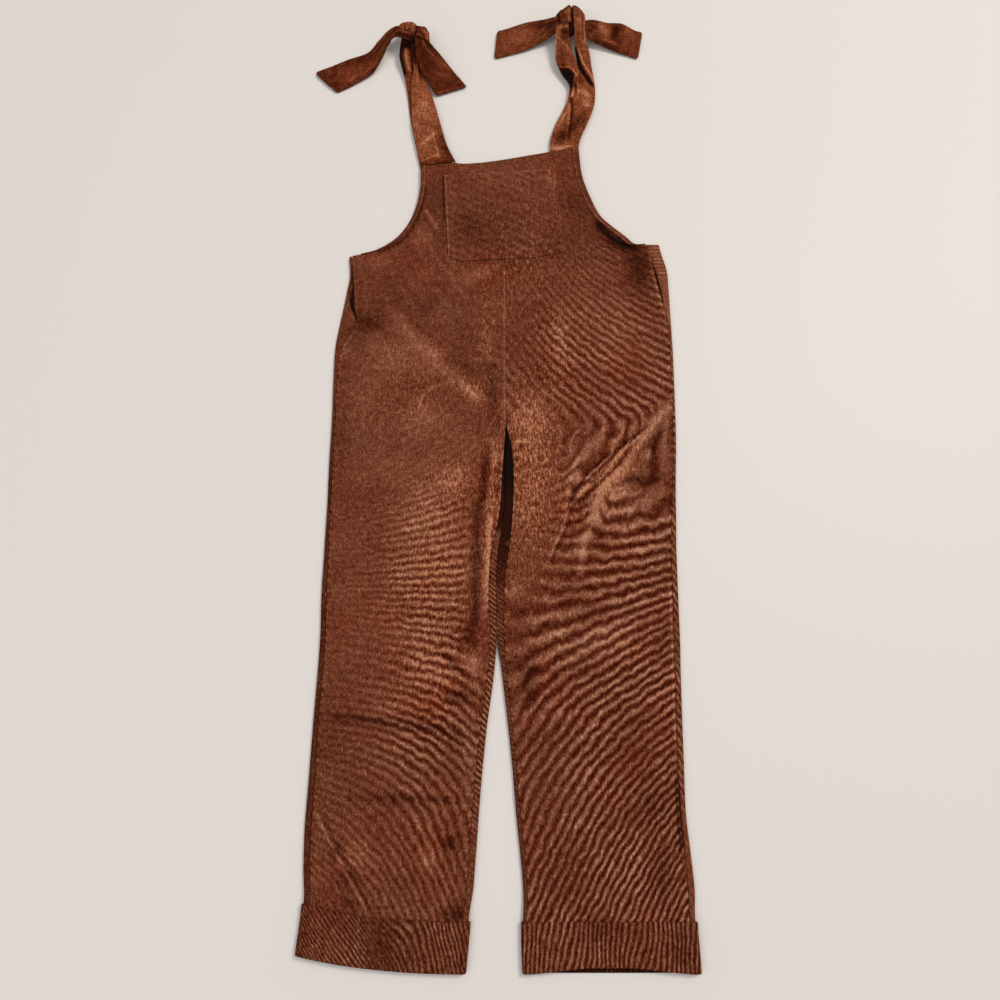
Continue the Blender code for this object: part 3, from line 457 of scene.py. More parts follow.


# Nap of the cloth, and painted light and shade. Lighter and darker places, some the nap's own and some
# painted shade in hollows and beside seams and painted light on folds: x, y, half width, half length,
# turn in degrees, tone (dark below 0, light above).
napAndShadePatches = (
    (0.036, 0.62, 0.028, 0.11, 0, 0.05), (-0.006, 0.625, 0.005, 0.007, 0, -0.24),
    (-0.007, 0.595, 0.005, 0.008, 0, -0.24), (-0.011, 0.563, 0.005, 0.009, 0, -0.2),
    (0.16, 0.62, 0.07, 0.07, 0, 0.06), (-0.09, 0.5, 0.06, 0.11, 0, 0.04),
    (0.01, 0.99, 0.12, 0.04, 0, -0.06), (-0.14, 0.803, 0.044, 0.042, 0, 0.1),
    (-0.094, 0.805, 0.015, 0.016, 0, 0.14), (-0.041, 0.744, 0.026, 0.01, -50, 0.2),
    (-0.108, 0.704, 0.029, 0.019, 0, 0.1), (-0.182, 0.96, 0.018, 0.013, 0, 0.12),
    (-0.034, 0.938, 0.03, 0.011, 25, 0.2), (-0.194, 0.857, 0.022, 0.016, -20, -0.26),
    (-0.213, 0.836, 0.012, 0.026, 0, -0.12), (-0.108, 0.886, 0.014, 0.02, 0, -0.14),
    (-0.153, 0.894, 0.018, 0.027, 0, -0.06), (-0.018, 0.831, 0.012, 0.036, 0, 0.1),
    (-0.226, 0.64, 0.017, 0.12, 0, -0.05), (-0.062, 0.613, 0.025, 0.02, 0, 0.16),
    (-0.096, 0.524, 0.047, 0.084, 0, 0.12), (-0.132, 0.389, 0.053, 0.026, 0, 0.06),
    (-0.009, 0.647, 0.007, 0.021, 0, 0.18), (-0.17, 0.496, 0.022, 0.084, 0, -0.04),
    (-0.037, 0.357, 0.012, 0.015, 0, 0.28), (-0.044, 0.389, 0.012, 0.013, 0, -0.24),
    (-0.053, 0.316, 0.016, 0.01, 0, -0.26), (-0.091, 0.348, 0.034, 0.028, -20, 0.14),
    (-0.136, 0.306, 0.029, 0.015, 0, 0.1), (-0.062, 0.142, 0.011, 0.009, 0, -0.32),
    (-0.189, 0.102, 0.013, 0.011, 0, -0.22), (-0.179, 0.075, 0.011, 0.008, 0, -0.2),
    (-0.051, 0.065, 0.018, 0.008, 0, -0.34), (-0.174, 0.131, 0.017, 0.015, 0, 0.1),
    (-0.202, 0.132, 0.008, 0.014, -20, -0.2), (-0.087, 0.122, 0.011, 0.014, 0, 0.18),
    (-0.137, 0.191, 0.03, 0.007, -8, -0.14), (-0.217, 0.263, 0.026, 0.036, 0, -0.06),
    (-0.038, 0.239, 0.008, 0.048, 0, 0.1), (0.174, 0.593, 0.011, 0.007, 0, 0.14),
    (0.2, 0.637, 0.024, 0.028, 0, -0.17), (0.196, 0.611, 0.03, 0.008, 8, -0.16),
    (0.124, 0.536, 0.012, 0.012, 0, -0.26), (0.032, 0.64, 0.03, 0.12, 0, -0.03),
    (0.235, 0.6, 0.02, 0.05, 0, -0.06), (0.038, 0.341, 0.01, 0.025, 0, -0.26),
    (0.028, 0.423, 0.011, 0.013, 0, -0.16), (0.02, 0.455, 0.011, 0.011, 0, 0.16),
    (0.132, 0.389, 0.053, 0.021, 20, 0.14), (0.046, 0.64, 0.026, 0.11, 0, 0.13),
    (0.059, 0.795, 0.032, 0.048, 0, -0.05), (0.089, 0.836, 0.013, 0.056, 0, 0.14),
    (0.214, 0.945, 0.021, 0.058, 0, -0.3), (0.14, 0.2, 0.12, 0.2, 0, -0.02),
    (-0.105, 1.06, 0.018, 0.055, 0, -0.05), (0.176, 0.99, 0.034, 0.01, -25, -0.24),
    (0.144, 1.031, 0.014, 0.043, 30, -0.1), (0.175, 0.85, 0.07, 0.08, 0, 0.08),
    (0.117, 1.062, 0.016, 0.033, 20, -0.1), (0.043, 0.708, 0.029, 0.034, 0, 0.14),
    (0.204, 0.496, 0.019, 0.084, 0, -0.02), (0.072, 0.079, 0.049, 0.044, 0, -0.04),
    (0.195, 0.101, 0.02, 0.037, 0, -0.1), (0.193, 0.186, 0.018, 0.023, 0, -0.12),
    (-0.117, 1.004, 0.015, 0.014, 0, 0.16), (-0.094, 1.071, 0.013, 0.037, 0, -0.08),
    (0.082, 1.108, 0.013, 0.019, 0, 0.08), (-0.046, 1.025, 0.022, 0.025, 0, -0.1),
    (-0.196, 0.74, 0.026, 0.064, 0, 0.05), (-0.12, 0.64, 0.11, 0.09, 0, 0.05),
    (-0.12, 0.45, 0.11, 0.12, 0, 0.03), (0.17, 0.59, 0.08, 0.09, 0, 0.04),
    (0.0, 1.02, 0.12, 0.12, 0, -0.03),
)
hipFold = ((0.251, 0.730), (0.218, 0.692), (0.195, 0.660), (0.176, 0.629), (0.149, 0.602), (0.135, 0.579),
           (0.129, 0.552))
# worn edges, and the painted highlights and painted shade of folds, creases and hollows: route, half
# width, tone
napAndShadeLines = (
    # the fold across the right hip and the streaks beside it: painted highlights on their ridges, painted
    # shade in the hollows between them
    (hipFold + ((0.116, 0.526), (0.109, 0.5)), 0.0085, 0.34),
    (((0.211, 0.69), (0.16, 0.652), (0.136, 0.631), (0.113, 0.607), (0.1, 0.584), (0.093, 0.565)),
      0.0026, -0.38),
    (((0.204, 0.68), (0.169, 0.648), (0.146, 0.627), (0.12, 0.601), (0.103, 0.58)), 0.0016, 0.3),
    (((0.198, 0.668), (0.17, 0.638), (0.145, 0.613), (0.122, 0.59), (0.108, 0.568)), 0.0035, -0.22),
    (((0.094, 0.692), (0.085, 0.674), (0.091, 0.654)), 0.0016, 0.2),
    (((0.121, 0.694), (0.102, 0.671), (0.1, 0.65)), 0.0018, 0.26),
    (besideFold, 0.004, 0.22),
    (((0.11, 0.692), (0.092, 0.669), (0.089, 0.647)), 0.003, -0.24),
    (((0.137, 0.692), (0.118, 0.669), (0.109, 0.642)), 0.003, -0.22),
    (((0.104, 0.582), (0.095, 0.569), (0.088, 0.545), (0.075, 0.516), (0.066, 0.492)), 0.0018, 0.28),
    (((0.108, 0.58), (0.099, 0.566), (0.092, 0.543), (0.079, 0.514), (0.07, 0.49)), 0.0026, -0.22),
    (((0.129, 0.552), (0.117, 0.526), (0.11, 0.495), (0.106, 0.465)), 0.006, 0.14),
    (((0.234, 0.688), (0.22, 0.667), (0.216, 0.647), (0.208, 0.626)), 0.0032, -0.3),
    (((0.242, 0.706), (0.236, 0.681), (0.231, 0.642), (0.227, 0.616)), 0.003, 0.16),
    (((0.175, 0.607), (0.188, 0.613), (0.202, 0.604), (0.227, 0.614)), 0.0036, -0.28),
    (((0.171, 0.592), (0.184, 0.588), (0.199, 0.594)), 0.0036, 0.24),
    # worn edges between the legs
    (((0.004, 0.665), (0.004, 0.625), (0.001, 0.591), (-0.002, 0.559), (-0.004, 0.538)), 0.0013, 0.34),
    (((0.011, 0.672), (0.016, 0.654), (0.018, 0.625), (0.019, 0.595), (0.018, 0.562), (0.014, 0.535)),
      0.0013, 0.3),
    # beside the seams and the armhole edges, and on across the legs and the bib: light lines along the
    # edges, and the painted highlights and painted shade of folds, hollows and gaps
    (((0.0068, 0.957), (0.0068, 0.69)), 0.0016, 0.24),
    (((0.229, 0.47), (0.228, 0.4), (0.225, 0.317), (0.223, 0.237)), 0.0014, 0.3),
    # painted shade in the opening low in the right side seam
    (((0.222, 0.222), (0.221, 0.176), (0.222, 0.128)), 0.0012, -0.6),
    (((0.226, 0.985), (0.231, 0.955), (0.233, 0.93), (0.239, 0.903), (0.243, 0.88), (0.25, 0.855)),
      0.0012, 0.26),
    # painted shadow under the armhole bands, the right one and then the left one
    (((0.15, 1.03), (0.158, 1.018), (0.172, 1.003), (0.19, 0.99), (0.212, 0.984)), 0.0046, -0.85),
    (((-0.117, 1.1), (-0.122, 1.058), (-0.131, 1.03), (-0.147, 1.002), (-0.164, 0.988), (-0.19, 0.973)),
      0.003, -0.24),
    (((0.088, 1.122), (0.085, 1.078), (0.093, 1.049), (0.094, 0.985)), 0.0012, 0.14),
    # painted shade in the channel beside the centre seam
    (((-0.016, 0.661), (-0.024, 0.594), (-0.03, 0.57), (-0.033, 0.511), (-0.034, 0.466), (-0.033, 0.432),
      (-0.038, 0.389)), 0.006, -0.3),
    (((-0.006, 0.655), (-0.013, 0.581), (-0.016, 0.524), (-0.019, 0.469), (-0.02, 0.415)), 0.005, 0.22),
    (((-0.007, 0.591), (-0.014, 0.544), (-0.016, 0.5), (-0.017, 0.454)), 0.0018, 0.3),
    (((-0.075, 0.369), (-0.055, 0.353), (-0.036, 0.337)), 0.0045, -0.3),
    (((-0.221, 0.812), (-0.237, 0.8)), 0.0015, 0.2),
    (((-0.11, 0.847), (-0.089, 0.83), (-0.071, 0.807)), 0.0016, 0.16),
    (((-0.024, 0.812), (-0.013, 0.799)), 0.0016, 0.26),
    (((-0.119, 0.714), (-0.11, 0.742)), 0.0016, 0.26),
    (((-0.013, 0.693), (0.007, 0.734)), 0.0018, 0.26),
    (((-0.23, 0.178), (-0.196, 0.121), (-0.157, 0.061)), 0.0013, 0.32),
    (((-0.225, 0.179), (-0.19, 0.123), (-0.152, 0.062)), 0.003, -0.16),
    (((-0.225, 0.292), (-0.154, 0.285), (-0.075, 0.275), (-0.046, 0.262)), 0.006, -0.22),
    (((-0.144, 0.196), (-0.1, 0.193), (-0.056, 0.19)), 0.005, -0.16),
    # painted shadow beside the pocket's left edge
    (((-0.0905, 1.117), (-0.0885, 1.07), (-0.0865, 1.03)), 0.0014, -0.34),
    (((-0.117, 1.053), (-0.096, 1.017)), 0.0026, 0.28),
    (((-0.164, 0.873), (-0.1, 0.797), (-0.034, 0.737)), 0.012, 0.11),
    (((-0.135, 0.885), (-0.075, 0.805), (-0.03, 0.765)), 0.013, -0.08),
    (((-0.048, 0.746), (-0.034, 0.737), (-0.026, 0.748)), 0.003, 0.14),
    (((-0.014, 0.79), (-0.01, 0.74), (-0.006, 0.69)), 0.009, -0.16),
    (((0.044, 1.07), (0.043, 1.037)), 0.0016, 0.24),
    (((0.141, 0.969), (0.186, 0.959), (0.214, 0.969)), 0.003, -0.16),
    (((-0.076, 0.949), (-0.068, 0.919), (-0.045, 0.894)), 0.003, 0.12),
)
# x, y, half width, half length, turn, change of the stripes' strength; and the same along a route
stripePatches = (
    (0.105, 0.668, 0.03, 0.028, 0, -0.75), (0.19, 0.6, 0.03, 0.018, 0, -0.7),
    (0.236, 0.655, 0.016, 0.045, 0, -0.8), (0.012, 0.31, 0.018, 0.11, 0, -0.55),
    (0.02, 0.12, 0.016, 0.08, 0, -0.35), (-0.205, 0.56, 0.05, 0.18, 0, -0.12),
    (0.03, 0.935, 0.045, 0.07, 0, -0.16), (-0.092, 0.478, 0.062, 0.088, 0, 0.74),
    (-0.038, 0.358, 0.014, 0.022, 0, -0.6), (-0.055, 0.56, 0.028, 0.022, 0, 0.3),
    (-0.078, 0.337, 0.06, 0.062, 0, 0.75), (-0.089, 0.257, 0.064, 0.055, 0, 0.6),
    (-0.074, 0.145, 0.049, 0.08, 0, 0.3), (-0.12, 0.12, 0.08, 0.08, 0, 0.24),
    (-0.19, 0.239, 0.038, 0.096, 0, 0.1), (0.048, 0.625, 0.04, 0.13, 0, -1.2),
    (0.03, 0.5, 0.034, 0.055, 0, -0.85), (0.027, 0.442, 0.019, 0.094, 0, -0.5),
    (0.022, 0.86, 0.05, 0.11, 0, -0.6), (0.144, 0.732, 0.058, 0.031, 0, -0.2),
    (0.15, 0.9, 0.091, 0.08, 0, -0.34), (0.196, 0.8, 0.05, 0.05, 0, -0.3),
    (0.062, 0.2, 0.045, 0.11, 0, -0.36), (0.212, 0.945, 0.03, 0.05, 0, -0.65),
    (0.093, 1.034, 0.094, 0.111, 0, -0.9), (-0.034, 0.483, 0.011, 0.098, 0, -0.8),
)
stripeLines = ((hipFold, 0.011, -1.0),)
stripesInFold = 160                  # stripes that a metre of a fold's height pushes on
# the same as the patches above, for light flecks
fleckPatches = (
    (0.034, 0.64, 0.026, 0.11, 0, 1.2), (-0.006, 0.6, 0.01, 0.08, 0, 1.0),
    (0.052, 0.62, 0.034, 0.13, 0, 1.5), (0.225, 0.56, 0.02, 0.2, 0, -0.2),
    (-0.124, 0.763, 0.058, 0.064, 0, 0.6), (-0.062, 0.61, 0.031, 0.033, 0, 1.0),
    (-0.021, 0.82, 0.015, 0.083, 0, 0.8), (-0.09, 0.49, 0.06, 0.1, 0, 1.1),
    (-0.018, 0.56, 0.014, 0.1, 0, 0.8), (-0.09, 0.34, 0.06, 0.06, 0, 0.5),
    (0.16, 0.62, 0.07, 0.03, 45, 0.6), (0.088, 0.811, 0.036, 0.082, 0, 0.7),
    (0.04, 0.925, 0.04, 0.06, 0, 0.5), (0.031, 0.963, 0.077, 0.035, 0, 0.6),
    (0.039, 1.043, 0.063, 0.056, 0, 0.4), (0.169, 0.64, 0.02, 0.105, -35, 0.8),
    (-0.091, 0.337, 0.052, 0.052, 0, 0.4), (-0.043, 0.747, 0.02, 0.019, 0, 0.8),
)


def grainOf(half, x, y, height):
    # place across and along the wales, and the stripes counted up to here, which folds bend
    rows = half["stripes"]
    heights = np.linspace(0.0, 1.2, 1201)
    run = np.cumsum(column(rows, 1)(heights)) * (heights[1] - heights[0])
    away = x - half["stripesFrom"]
    lean = column(rows, 2)(y) + away * column(rows, 3)(y)
    phase = np.interp(y, heights, run) + away * lean + stripesInFold * height
    return layers(x - column(half["waleLine"], 1)(y), y, phase)


class Value:
    # a shader value that adds its Math nodes when it stands in an expression
    def __init__(self, finish, socket):
        self.finish = finish
        self.socket = socket

    def math(self, operation, *others):
        return self.finish.math(operation, self, *others)

    def __add__(self, other):
        return self.math("ADD", other)

    def __radd__(self, other):
        return self.finish.math("ADD", other, self)

    def __sub__(self, other):
        return self.math("SUBTRACT", other)

    def __rsub__(self, other):
        return self.finish.math("SUBTRACT", other, self)

    def __mul__(self, other):
        return self.math("MULTIPLY", other)

    def __rmul__(self, other):
        return self.finish.math("MULTIPLY", other, self)

    def __truediv__(self, other):
        return self.math("DIVIDE", other)


class Finish:
    # one material under construction
    def __init__(self, name):
        self.material = bpy.data.materials.new(name)
        self.material.use_nodes = True
        self.tree = self.material.node_tree
        self.principled = self.tree.nodes["Principled BSDF"]

    def add(self, kind, settings=None, inputs=(), output=0):
        node = self.tree.nodes.new(kind)
        for name, setting in (settings or {}).items():
            if name == "stops":
                self.setStops(node.color_ramp, setting)
            else:
                setattr(node, name, setting)
        self.connect(node, inputs)
        return Value(self, node.outputs[output])

    def setStops(self, ramp, stops):
        while len(ramp.elements) < len(stops):
            ramp.elements.new(0.5)
        for element, (position, colour) in zip(ramp.elements, stops):
            element.position = position
            element.color = (*colour, 1.0)

    def connect(self, node, inputs):
        pairs = inputs.items() if isinstance(inputs, dict) else enumerate(inputs)
        for key, value in pairs:
            if isinstance(value, Value):
                self.tree.links.new(value.socket, node.inputs[key])
            else:
                node.inputs[key].default_value = value

    def math(self, operation, *inputs):
        return self.add("ShaderNodeMath", {"operation": operation}, inputs)

    def attribute(self, name):
        vector = self.add("ShaderNodeAttribute", {"attribute_name": name}, output=1)
        return [self.add("ShaderNodeSeparateXYZ", None, [vector], output=k) for k in range(3)]

    def noise(self, across, along, sizeX, sizeY, slant, depth, detail, roughness):
        x = across * sizeX + along * slant if slant else across * sizeX
        vector = self.add("ShaderNodeCombineXYZ", None, [x, along * sizeY, depth])
        inputs = {"Vector": vector, "Scale": 1.0, "Detail": detail, "Roughness": roughness}
        return self.add("ShaderNodeTexNoise", {"noise_dimensions": "3D"}, inputs)

    def tint(self, factor, colour, tint):
        settings = {"data_type": "RGBA", "blend_type": "MULTIPLY", "clamp_factor": True}
        return self.add("ShaderNodeMix", settings, {0: factor, 6: colour, 7: (*tint, 1.0)}, output=2)


corduroyLook = {
    "pitch": 0.00135,                    # from wale to wale
    # colours at values from -0.5, deepest crevice, to 1, worn nap
    "stops": ((-0.50, (0.008, 0.0030, 0.0018)), (-0.15, (0.022, 0.0045, 0.0022)),
              (0.0, (0.029, 0.0030, 0.0009)), (0.26, (0.064, 0.0092, 0.0028)),
              (0.50, (0.135, 0.0350, 0.0155)), (0.75, (0.252, 0.0910, 0.0500)),
              (1.0, (0.480, 0.2300, 0.1450))),
    # tints of its redder, browner, most worn and shaded places
    "rusty": (1.06, 0.84, 0.74), "brown": (0.95, 1.06, 0.96), "orange": (1.08, 0.86, 0.62),
    "dusk": (0.96, 1.45, 1.80),
    "glow": 0.36, "shade": 2.6,          # how soon the worn and the shaded tints set in
    "patchContrast": 3.6, "rustyFrom": 1.9, "brownUntil": 1.7,   # where the redder and browner ones lie
    # share of each part in the light and dark
    "stripes": 0.29, "wide": 0.28, "mottle": 0.56, "grain": 1.0, "needles": 0.85, "flecks": 0.95,
    "grooves": 0.05, "speckledNap": 0.25,
    # value of the plain cloth, and where a groove and a fleck begin
    "middle": 0.50, "grooveEdge": 0.35, "fleckEdge": 0.56,
    "wander": 1.1, "waleWander": 0.4,    # how far stripes and wales leave their line
    "uneven": 1.8, "streakContrast": 2.4, "streakFrom": 0.20,    # how the stripes break up
    "bump": 0.6, "bumpDepth": 0.0007, "heights": {"rib": 0.55, "grain": 0.9, "nap": 0.6, "stripes": 0.25},
    "roughness": 0.95, "smoother": 0.10, "shine": 0.02,
    "sheen": 0.05, "sheenRoughness": 0.45, "sheenTint": (1.0, 0.42, 0.22, 1.0),
    # noises: number a metre across and along the wales, slant, depth, detail, roughness
    "noises": {
        "wide": (14.0, 14.0, 0.0, 0.0, 3.0, 0.55), "wobble": (60.0, 42.0, 0.0, 0.0, 2.5, 0.5),
        "streaks": (190.0, 75.0, 0.0, 0.0, 3.0, 0.65), "nap": (150.0, 95.0, 0.0, 0.0, 5.0, 0.65),
        "grain": (520.0, 290.0, 0.0, 0.0, 2.0, 0.7), "needles": (400.0, 110.0, 30.0, 7.0, 3.0, 0.6),
        "fleck": (380.0, 140.0, 0.0, 3.0, 2.0, 0.6), "patchy": (13.0, 11.0, 0.0, 5.0, 3.0, 0.5),
    },
}


def corduroy(name, changes):
    look = {**corduroyLook, **changes}
    finish = Finish(name)
    across, along, phase = finish.attribute("grain")
    tone, strength, speckled = finish.attribute("look")
    noises = {key: finish.noise(across, along, *row) for key, row in look["noises"].items()}
    wide, wobble, nap, grain, needles = (
        noises[key] - 0.5 for key in ("wide", "wobble", "nap", "grain", "needles"))
    wave = ((phase + wobble * look["wander"]) * (2 * math.pi)).math("SINE") * (1.0 + wide * look["uneven"])
    stripe = wave * strength * (noises["streaks"] * look["streakContrast"] - look["streakFrom"])
    bright = (noises["fleck"] - look["fleckEdge"]).math("MAXIMUM", 0.0) * speckled
    # each wale is a rib, with a narrow groove beside it
    saw = (across / look["pitch"] + wobble * look["waleWander"]).math("FRACT")
    rib = 1.0 - (saw * 2.0 - 1.0).math("ABSOLUTE")
    groove = (look["grooveEdge"] - rib).math("MAXIMUM", 0.0)
    value = look["middle"] + tone + wide * look["wide"]
    value = value + nap * (speckled * look["speckledNap"] + look["mottle"])
    value = value + stripe * look["stripes"] + grain * look["grain"] + bright * look["flecks"] * 2.0
    value = value - groove * look["grooves"] + needles * speckled * look["needles"]
    low, high = look["stops"][0][0], look["stops"][-1][0]
    stops = [((position - low) / (high - low), shade) for position, shade in look["stops"]]
    colour = finish.add("ShaderNodeValToRGB", {"stops": stops}, [(value - low) / (high - low)])
    patchy = noises["patchy"] * look["patchContrast"]
    colour = finish.tint(patchy - look["rustyFrom"], colour, look["rusty"])
    colour = finish.tint(look["brownUntil"] - patchy, colour, look["brown"])
    colour = finish.tint(speckled * look["glow"], colour, look["orange"])
    colour = finish.tint((0.0 - tone) * look["shade"], colour, look["dusk"])
    heights = look["heights"]
    height = rib * heights["rib"] + grain * heights["grain"] + nap * heights["nap"]
    height = height + wave * strength * heights["stripes"]
    bump = {"Strength": look["bump"], "Distance": look["bumpDepth"], "Height": height}
    normal = finish.add("ShaderNodeBump", None, bump)
    finish.connect(finish.principled, {
        "Base Color": colour, "Roughness": look["roughness"] - value * look["smoother"], "Normal": normal,
        "Sheen Weight": look["sheen"], "Sheen Roughness": look["sheenRoughness"],
        "Sheen Tint": look["sheenTint"], "Specular IOR Level": look["shine"],
    })
    return finish.material


# what the cloth of each kind of piece changes in that look
kinds = {"front": {}, "back": {}, "pocket": {}, "band": {}, "cuff": {},
         "strap": {"orange": (1.06, 0.86, 0.64), "glow": 3.6, "stripes": 0.15}}
finishes = {kind: corduroy(kind + "Corduroy", changes) for kind, changes in kinds.items()}
print("materials ready")


def fit(piece, node, restsOn):
    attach(piece, "root")
    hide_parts(node)


# Fronts. The seam's rows are a share of those above the bend, the armhole's are the rest.
frontLook = {
    "columns": 98, "rowStep": 0.0024, "flat": (0.262, 1.190), "seamShare": 2 / 15, "flecks": 0.35,
    "armRows": 1.1,                      # above 1, rows stand closer at the foot of the armhole
    # how far the rise to a rolled edge reaches in, and how far past crotch and side seam
    "edgeReach": 0.012, "pastCrotch": 0.03, "pastSide": 0.01,
    # heights between which the gap at the centre seam closes, and its shares on each front
    "joins": (1.06, 1.08), "joinGaps": (0.5, 0.05),
    # the dip to the web: last full height, how far below the crotch it ends, how soon it gives way
    "dipsUntil": 0.665, "dipEnds": 0.004, "dipYields": 2.5,
    # painted light and shade of puckers along the seams: a metre along and across, how far in, tone; where
    # they fade
    "puckers": (88, 60, 0.0030, 0.20), "puckersUntil": {"outerSeam": 0.84, "innerSeam": 0.62},
    "puckersFade": 0.03,
    # heights where the stripes go from the leg's strength to the hip's, and on to the bib's
    "legToHip": (0.55, 0.62), "hipToBib": (0.985, 1.04), "bibCalm": 0.85,
    "strengths": (0.05, 1.3), "mostFlecks": 2.0,
}


def frontRowEnds(half, rows):
    # outer and inner end of each row, and the height at which the seams are read
    sign, gap, at, seamShare = half["sign"], cloth["gap"], half["at"], frontLook["seamShare"]
    bend, top = centreSeam["bendsAt"], centreSeam["top"][1]
    share = np.clip((rows - bend) / (top - bend), 0.0, 1.0)
    onArmhole = share > seamShare
    sideLevel = np.where(rows < bend, rows, mix(bend, half["sideTop"], np.minimum(share / seamShare, 1.0)))
    outer = layers(half["at"]["outerSeam"](sideLevel) - sign * gap / 2, sideLevel)
    upArm = np.clip((share - seamShare) / (1 - seamShare), 0.0, 1.0) ** frontLook["armRows"]
    outer = np.where(onArmhole[:, None], alongLine(half["armhole"])(upArm), outer)
    seam = np.where(rows < crotch, at["innerSeam"](rows), centreX(rows))
    joined = mix(*frontLook["joinGaps"], ease(*frontLook["joins"], rows))
    inner = layers(seam + sign * gap * joined, rows)
    inset = cuffRoom(rows) * 0.5
    outer[:, 0] -= sign * inset
    inner[:, 0] += sign * inset
    return outer, inner, np.where(onArmhole, half["sideTop"] + frontLook["pastSide"], sideLevel)


def frontFace(half, rows, fromOuter=None, columnShares=None):
    # points of a front at rows up the garment; columns are distances from the outer end or shares between
    outer, inner, level = frontRowEnds(half, rows)
    width = np.linalg.norm(inner - outer, axis=1)[:, None]
    if fromOuter is None:
        near = edgeShares * rounding
        between = mix(rounding, width - rounding, columnShares[None, :])
        atOuter, atInner = np.tile(near[:-1], (len(rows), 1)), width - near[::-1][1:]
        fromOuter = np.concatenate((atOuter, between, atInner), axis=1)
    else:
        fromOuter = np.tile(fromOuter, (len(rows), 1))
    share = fromOuter / width
    x, y = mix(outer[:, :1], inner[:, :1], share), mix(outer[:, 1:], inner[:, 1:], share)
    level = np.broadcast_to(level[:, None], x.shape)
    # it rises to the rolled edges at both seams
    crest = edgeTop(level) - frontLevel(level)
    seamed = 1.0 - ease(crotch - frontLook["pastCrotch"], crotch + frontLook["pastCrotch"], level)
    sided = 1.0 - ease(half["sideTop"], half["sideTop"] + frontLook["pastSide"], level)
    fromInner, reach = width - fromOuter, frontLook["edgeReach"]
    byEdges = np.exp(-fromOuter / reach) * sided + np.exp(-fromInner / reach) * seamed
    z = frontHeight(x, y) + crest * byEdges
    # and dips round to the web where the back lies flat under the crotch
    sine = np.clip(1.0 - fromInner / (levels["edge"] - levels["web"]), 0.0, 1.0)
    unrolled = np.maximum(1.0 - frontLook["dipYields"] * rolledShare(half, level), 0.0)
    dip = unrolled * (1.0 - ease(frontLook["dipsUntil"], crotch - frontLook["dipEnds"], level))
    z = mix(z, levels["web"] + (z - levels["web"]) * np.sqrt(1.0 - sine**2), dip)
    return layers(x, y + rise(half, x, y) - sag(x, y), z + cuffRoom(level))


def puckerLightAndShade(half, x, y):
    # painted light and shade of small puckers beside the seams; no puckers are made in the cloth's shape
    along, across, wide, strong = frontLook["puckers"]
    total = np.zeros_like(x)
    for seam, until in frontLook["puckersUntil"].items():
        inside = np.abs(x - half["at"][seam](y))
        pucker = np.sin(2 * math.pi * (y * along + inside * across + 0.2 * np.sin(y * 60)))
        fade = 1.0 - ease(until, until + frontLook["puckersFade"], y)
        total += strong * pucker * bell(inside, wide) * fade
    return total


def makeFront(name, half):
    low, high = turnUp["legStart"], centreSeam["top"][1]
    rows = low + places(high - low, frontLook["rowStep"], rounding)
    face = frontFace(half, rows, columnShares=np.linspace(0.0, 1.0, frontLook["columns"]))
    x, y = face[..., 0], face[..., 1]
    # tone: the nap's own lighter and darker places, with painted light and shade of folds, hollows and
    # seam puckers
    tone = patches(x, y, napAndShadePatches) + lines(x, y, napAndShadeLines) + puckerLightAndShade(half, x, y)
    onBib = 1.0 - frontLook["bibCalm"] * ease(*frontLook["hipToBib"], y)
    plain = mix(*half["stripesPlain"], ease(*frontLook["legToHip"], y)) * onBib
    strength = plain + patches(x, y, stripePatches) + lines(x, y, stripeLines)
    strength = np.clip(strength, *frontLook["strengths"])
    flecks = np.clip(frontLook["flecks"] + patches(x, y, fleckPatches), 0.0, frontLook["mostFlecks"])
    piece = clothShell(f"front_{name}_cloth", face, cloth["wall"], finishes["front"],
                       grainOf(half, x, y, foldHeight(x, y)), layers(tone, strength, flecks))
    fit(piece, "front_" + name, ["back_" + name])


for name, half in halves.items():
    makeFront(name, half)
print("fronts ready")


# Backs. They roll up and over at the side seams and inseams.
backLook = {
    "rowStep": 0.0034, "flatColumns": 26, "rollSteps": 11, "seamRows": 12, "upperRows": 24,
    "flat": (0.300, 1.130), "area": 0.264,
    "plain": 0.15, "plainStripes": 60, "flecks": 0.3,
    "armStart": 0.006,                   # height of the first row above the side seam
    "leastStrip": 0.0006, "foldedStep": 0.0012,      # narrowest strip; columns of an edge that lies flat
    # how far an inner edge reaches on towards the other leg's, between which heights, and what it
    # reaches more where it unrolls
    "closing": 0.0009, "closes": (0.385, 0.41), "opens": (0.66, 0.69), "unrollingReach": 0.014,
    # shade at the foot of the gap between the legs: heights where it sets in on a flat edge and on
    # a rolled one, its first and last depth and the heights between these
    "flatShade": (0.40, 0.50), "rolledShade": (0.44, 0.52),
    "shades": (0.52, 0.88), "deepens": (0.57, 0.63),
}
puckerLook = {
    "innerFades": (0.47, 0.535), "outerFades": (0.80, 0.87), "outerFade": 0.9,
    "returns": (0.925, 0.940), "returning": 0.65,    # above the hip pocket some of them come back
    "hip": (0.86, 0.89), "hipPuckers": 160,          # beside it they run straight across
    "low": (0.13, 0.24), "lowStrength": 0.25,        # near the turn-up they are weaker
    "toneChanges": (0.68, 0.76),
}
rolledColumns = 3 + backLook["rollSteps"]


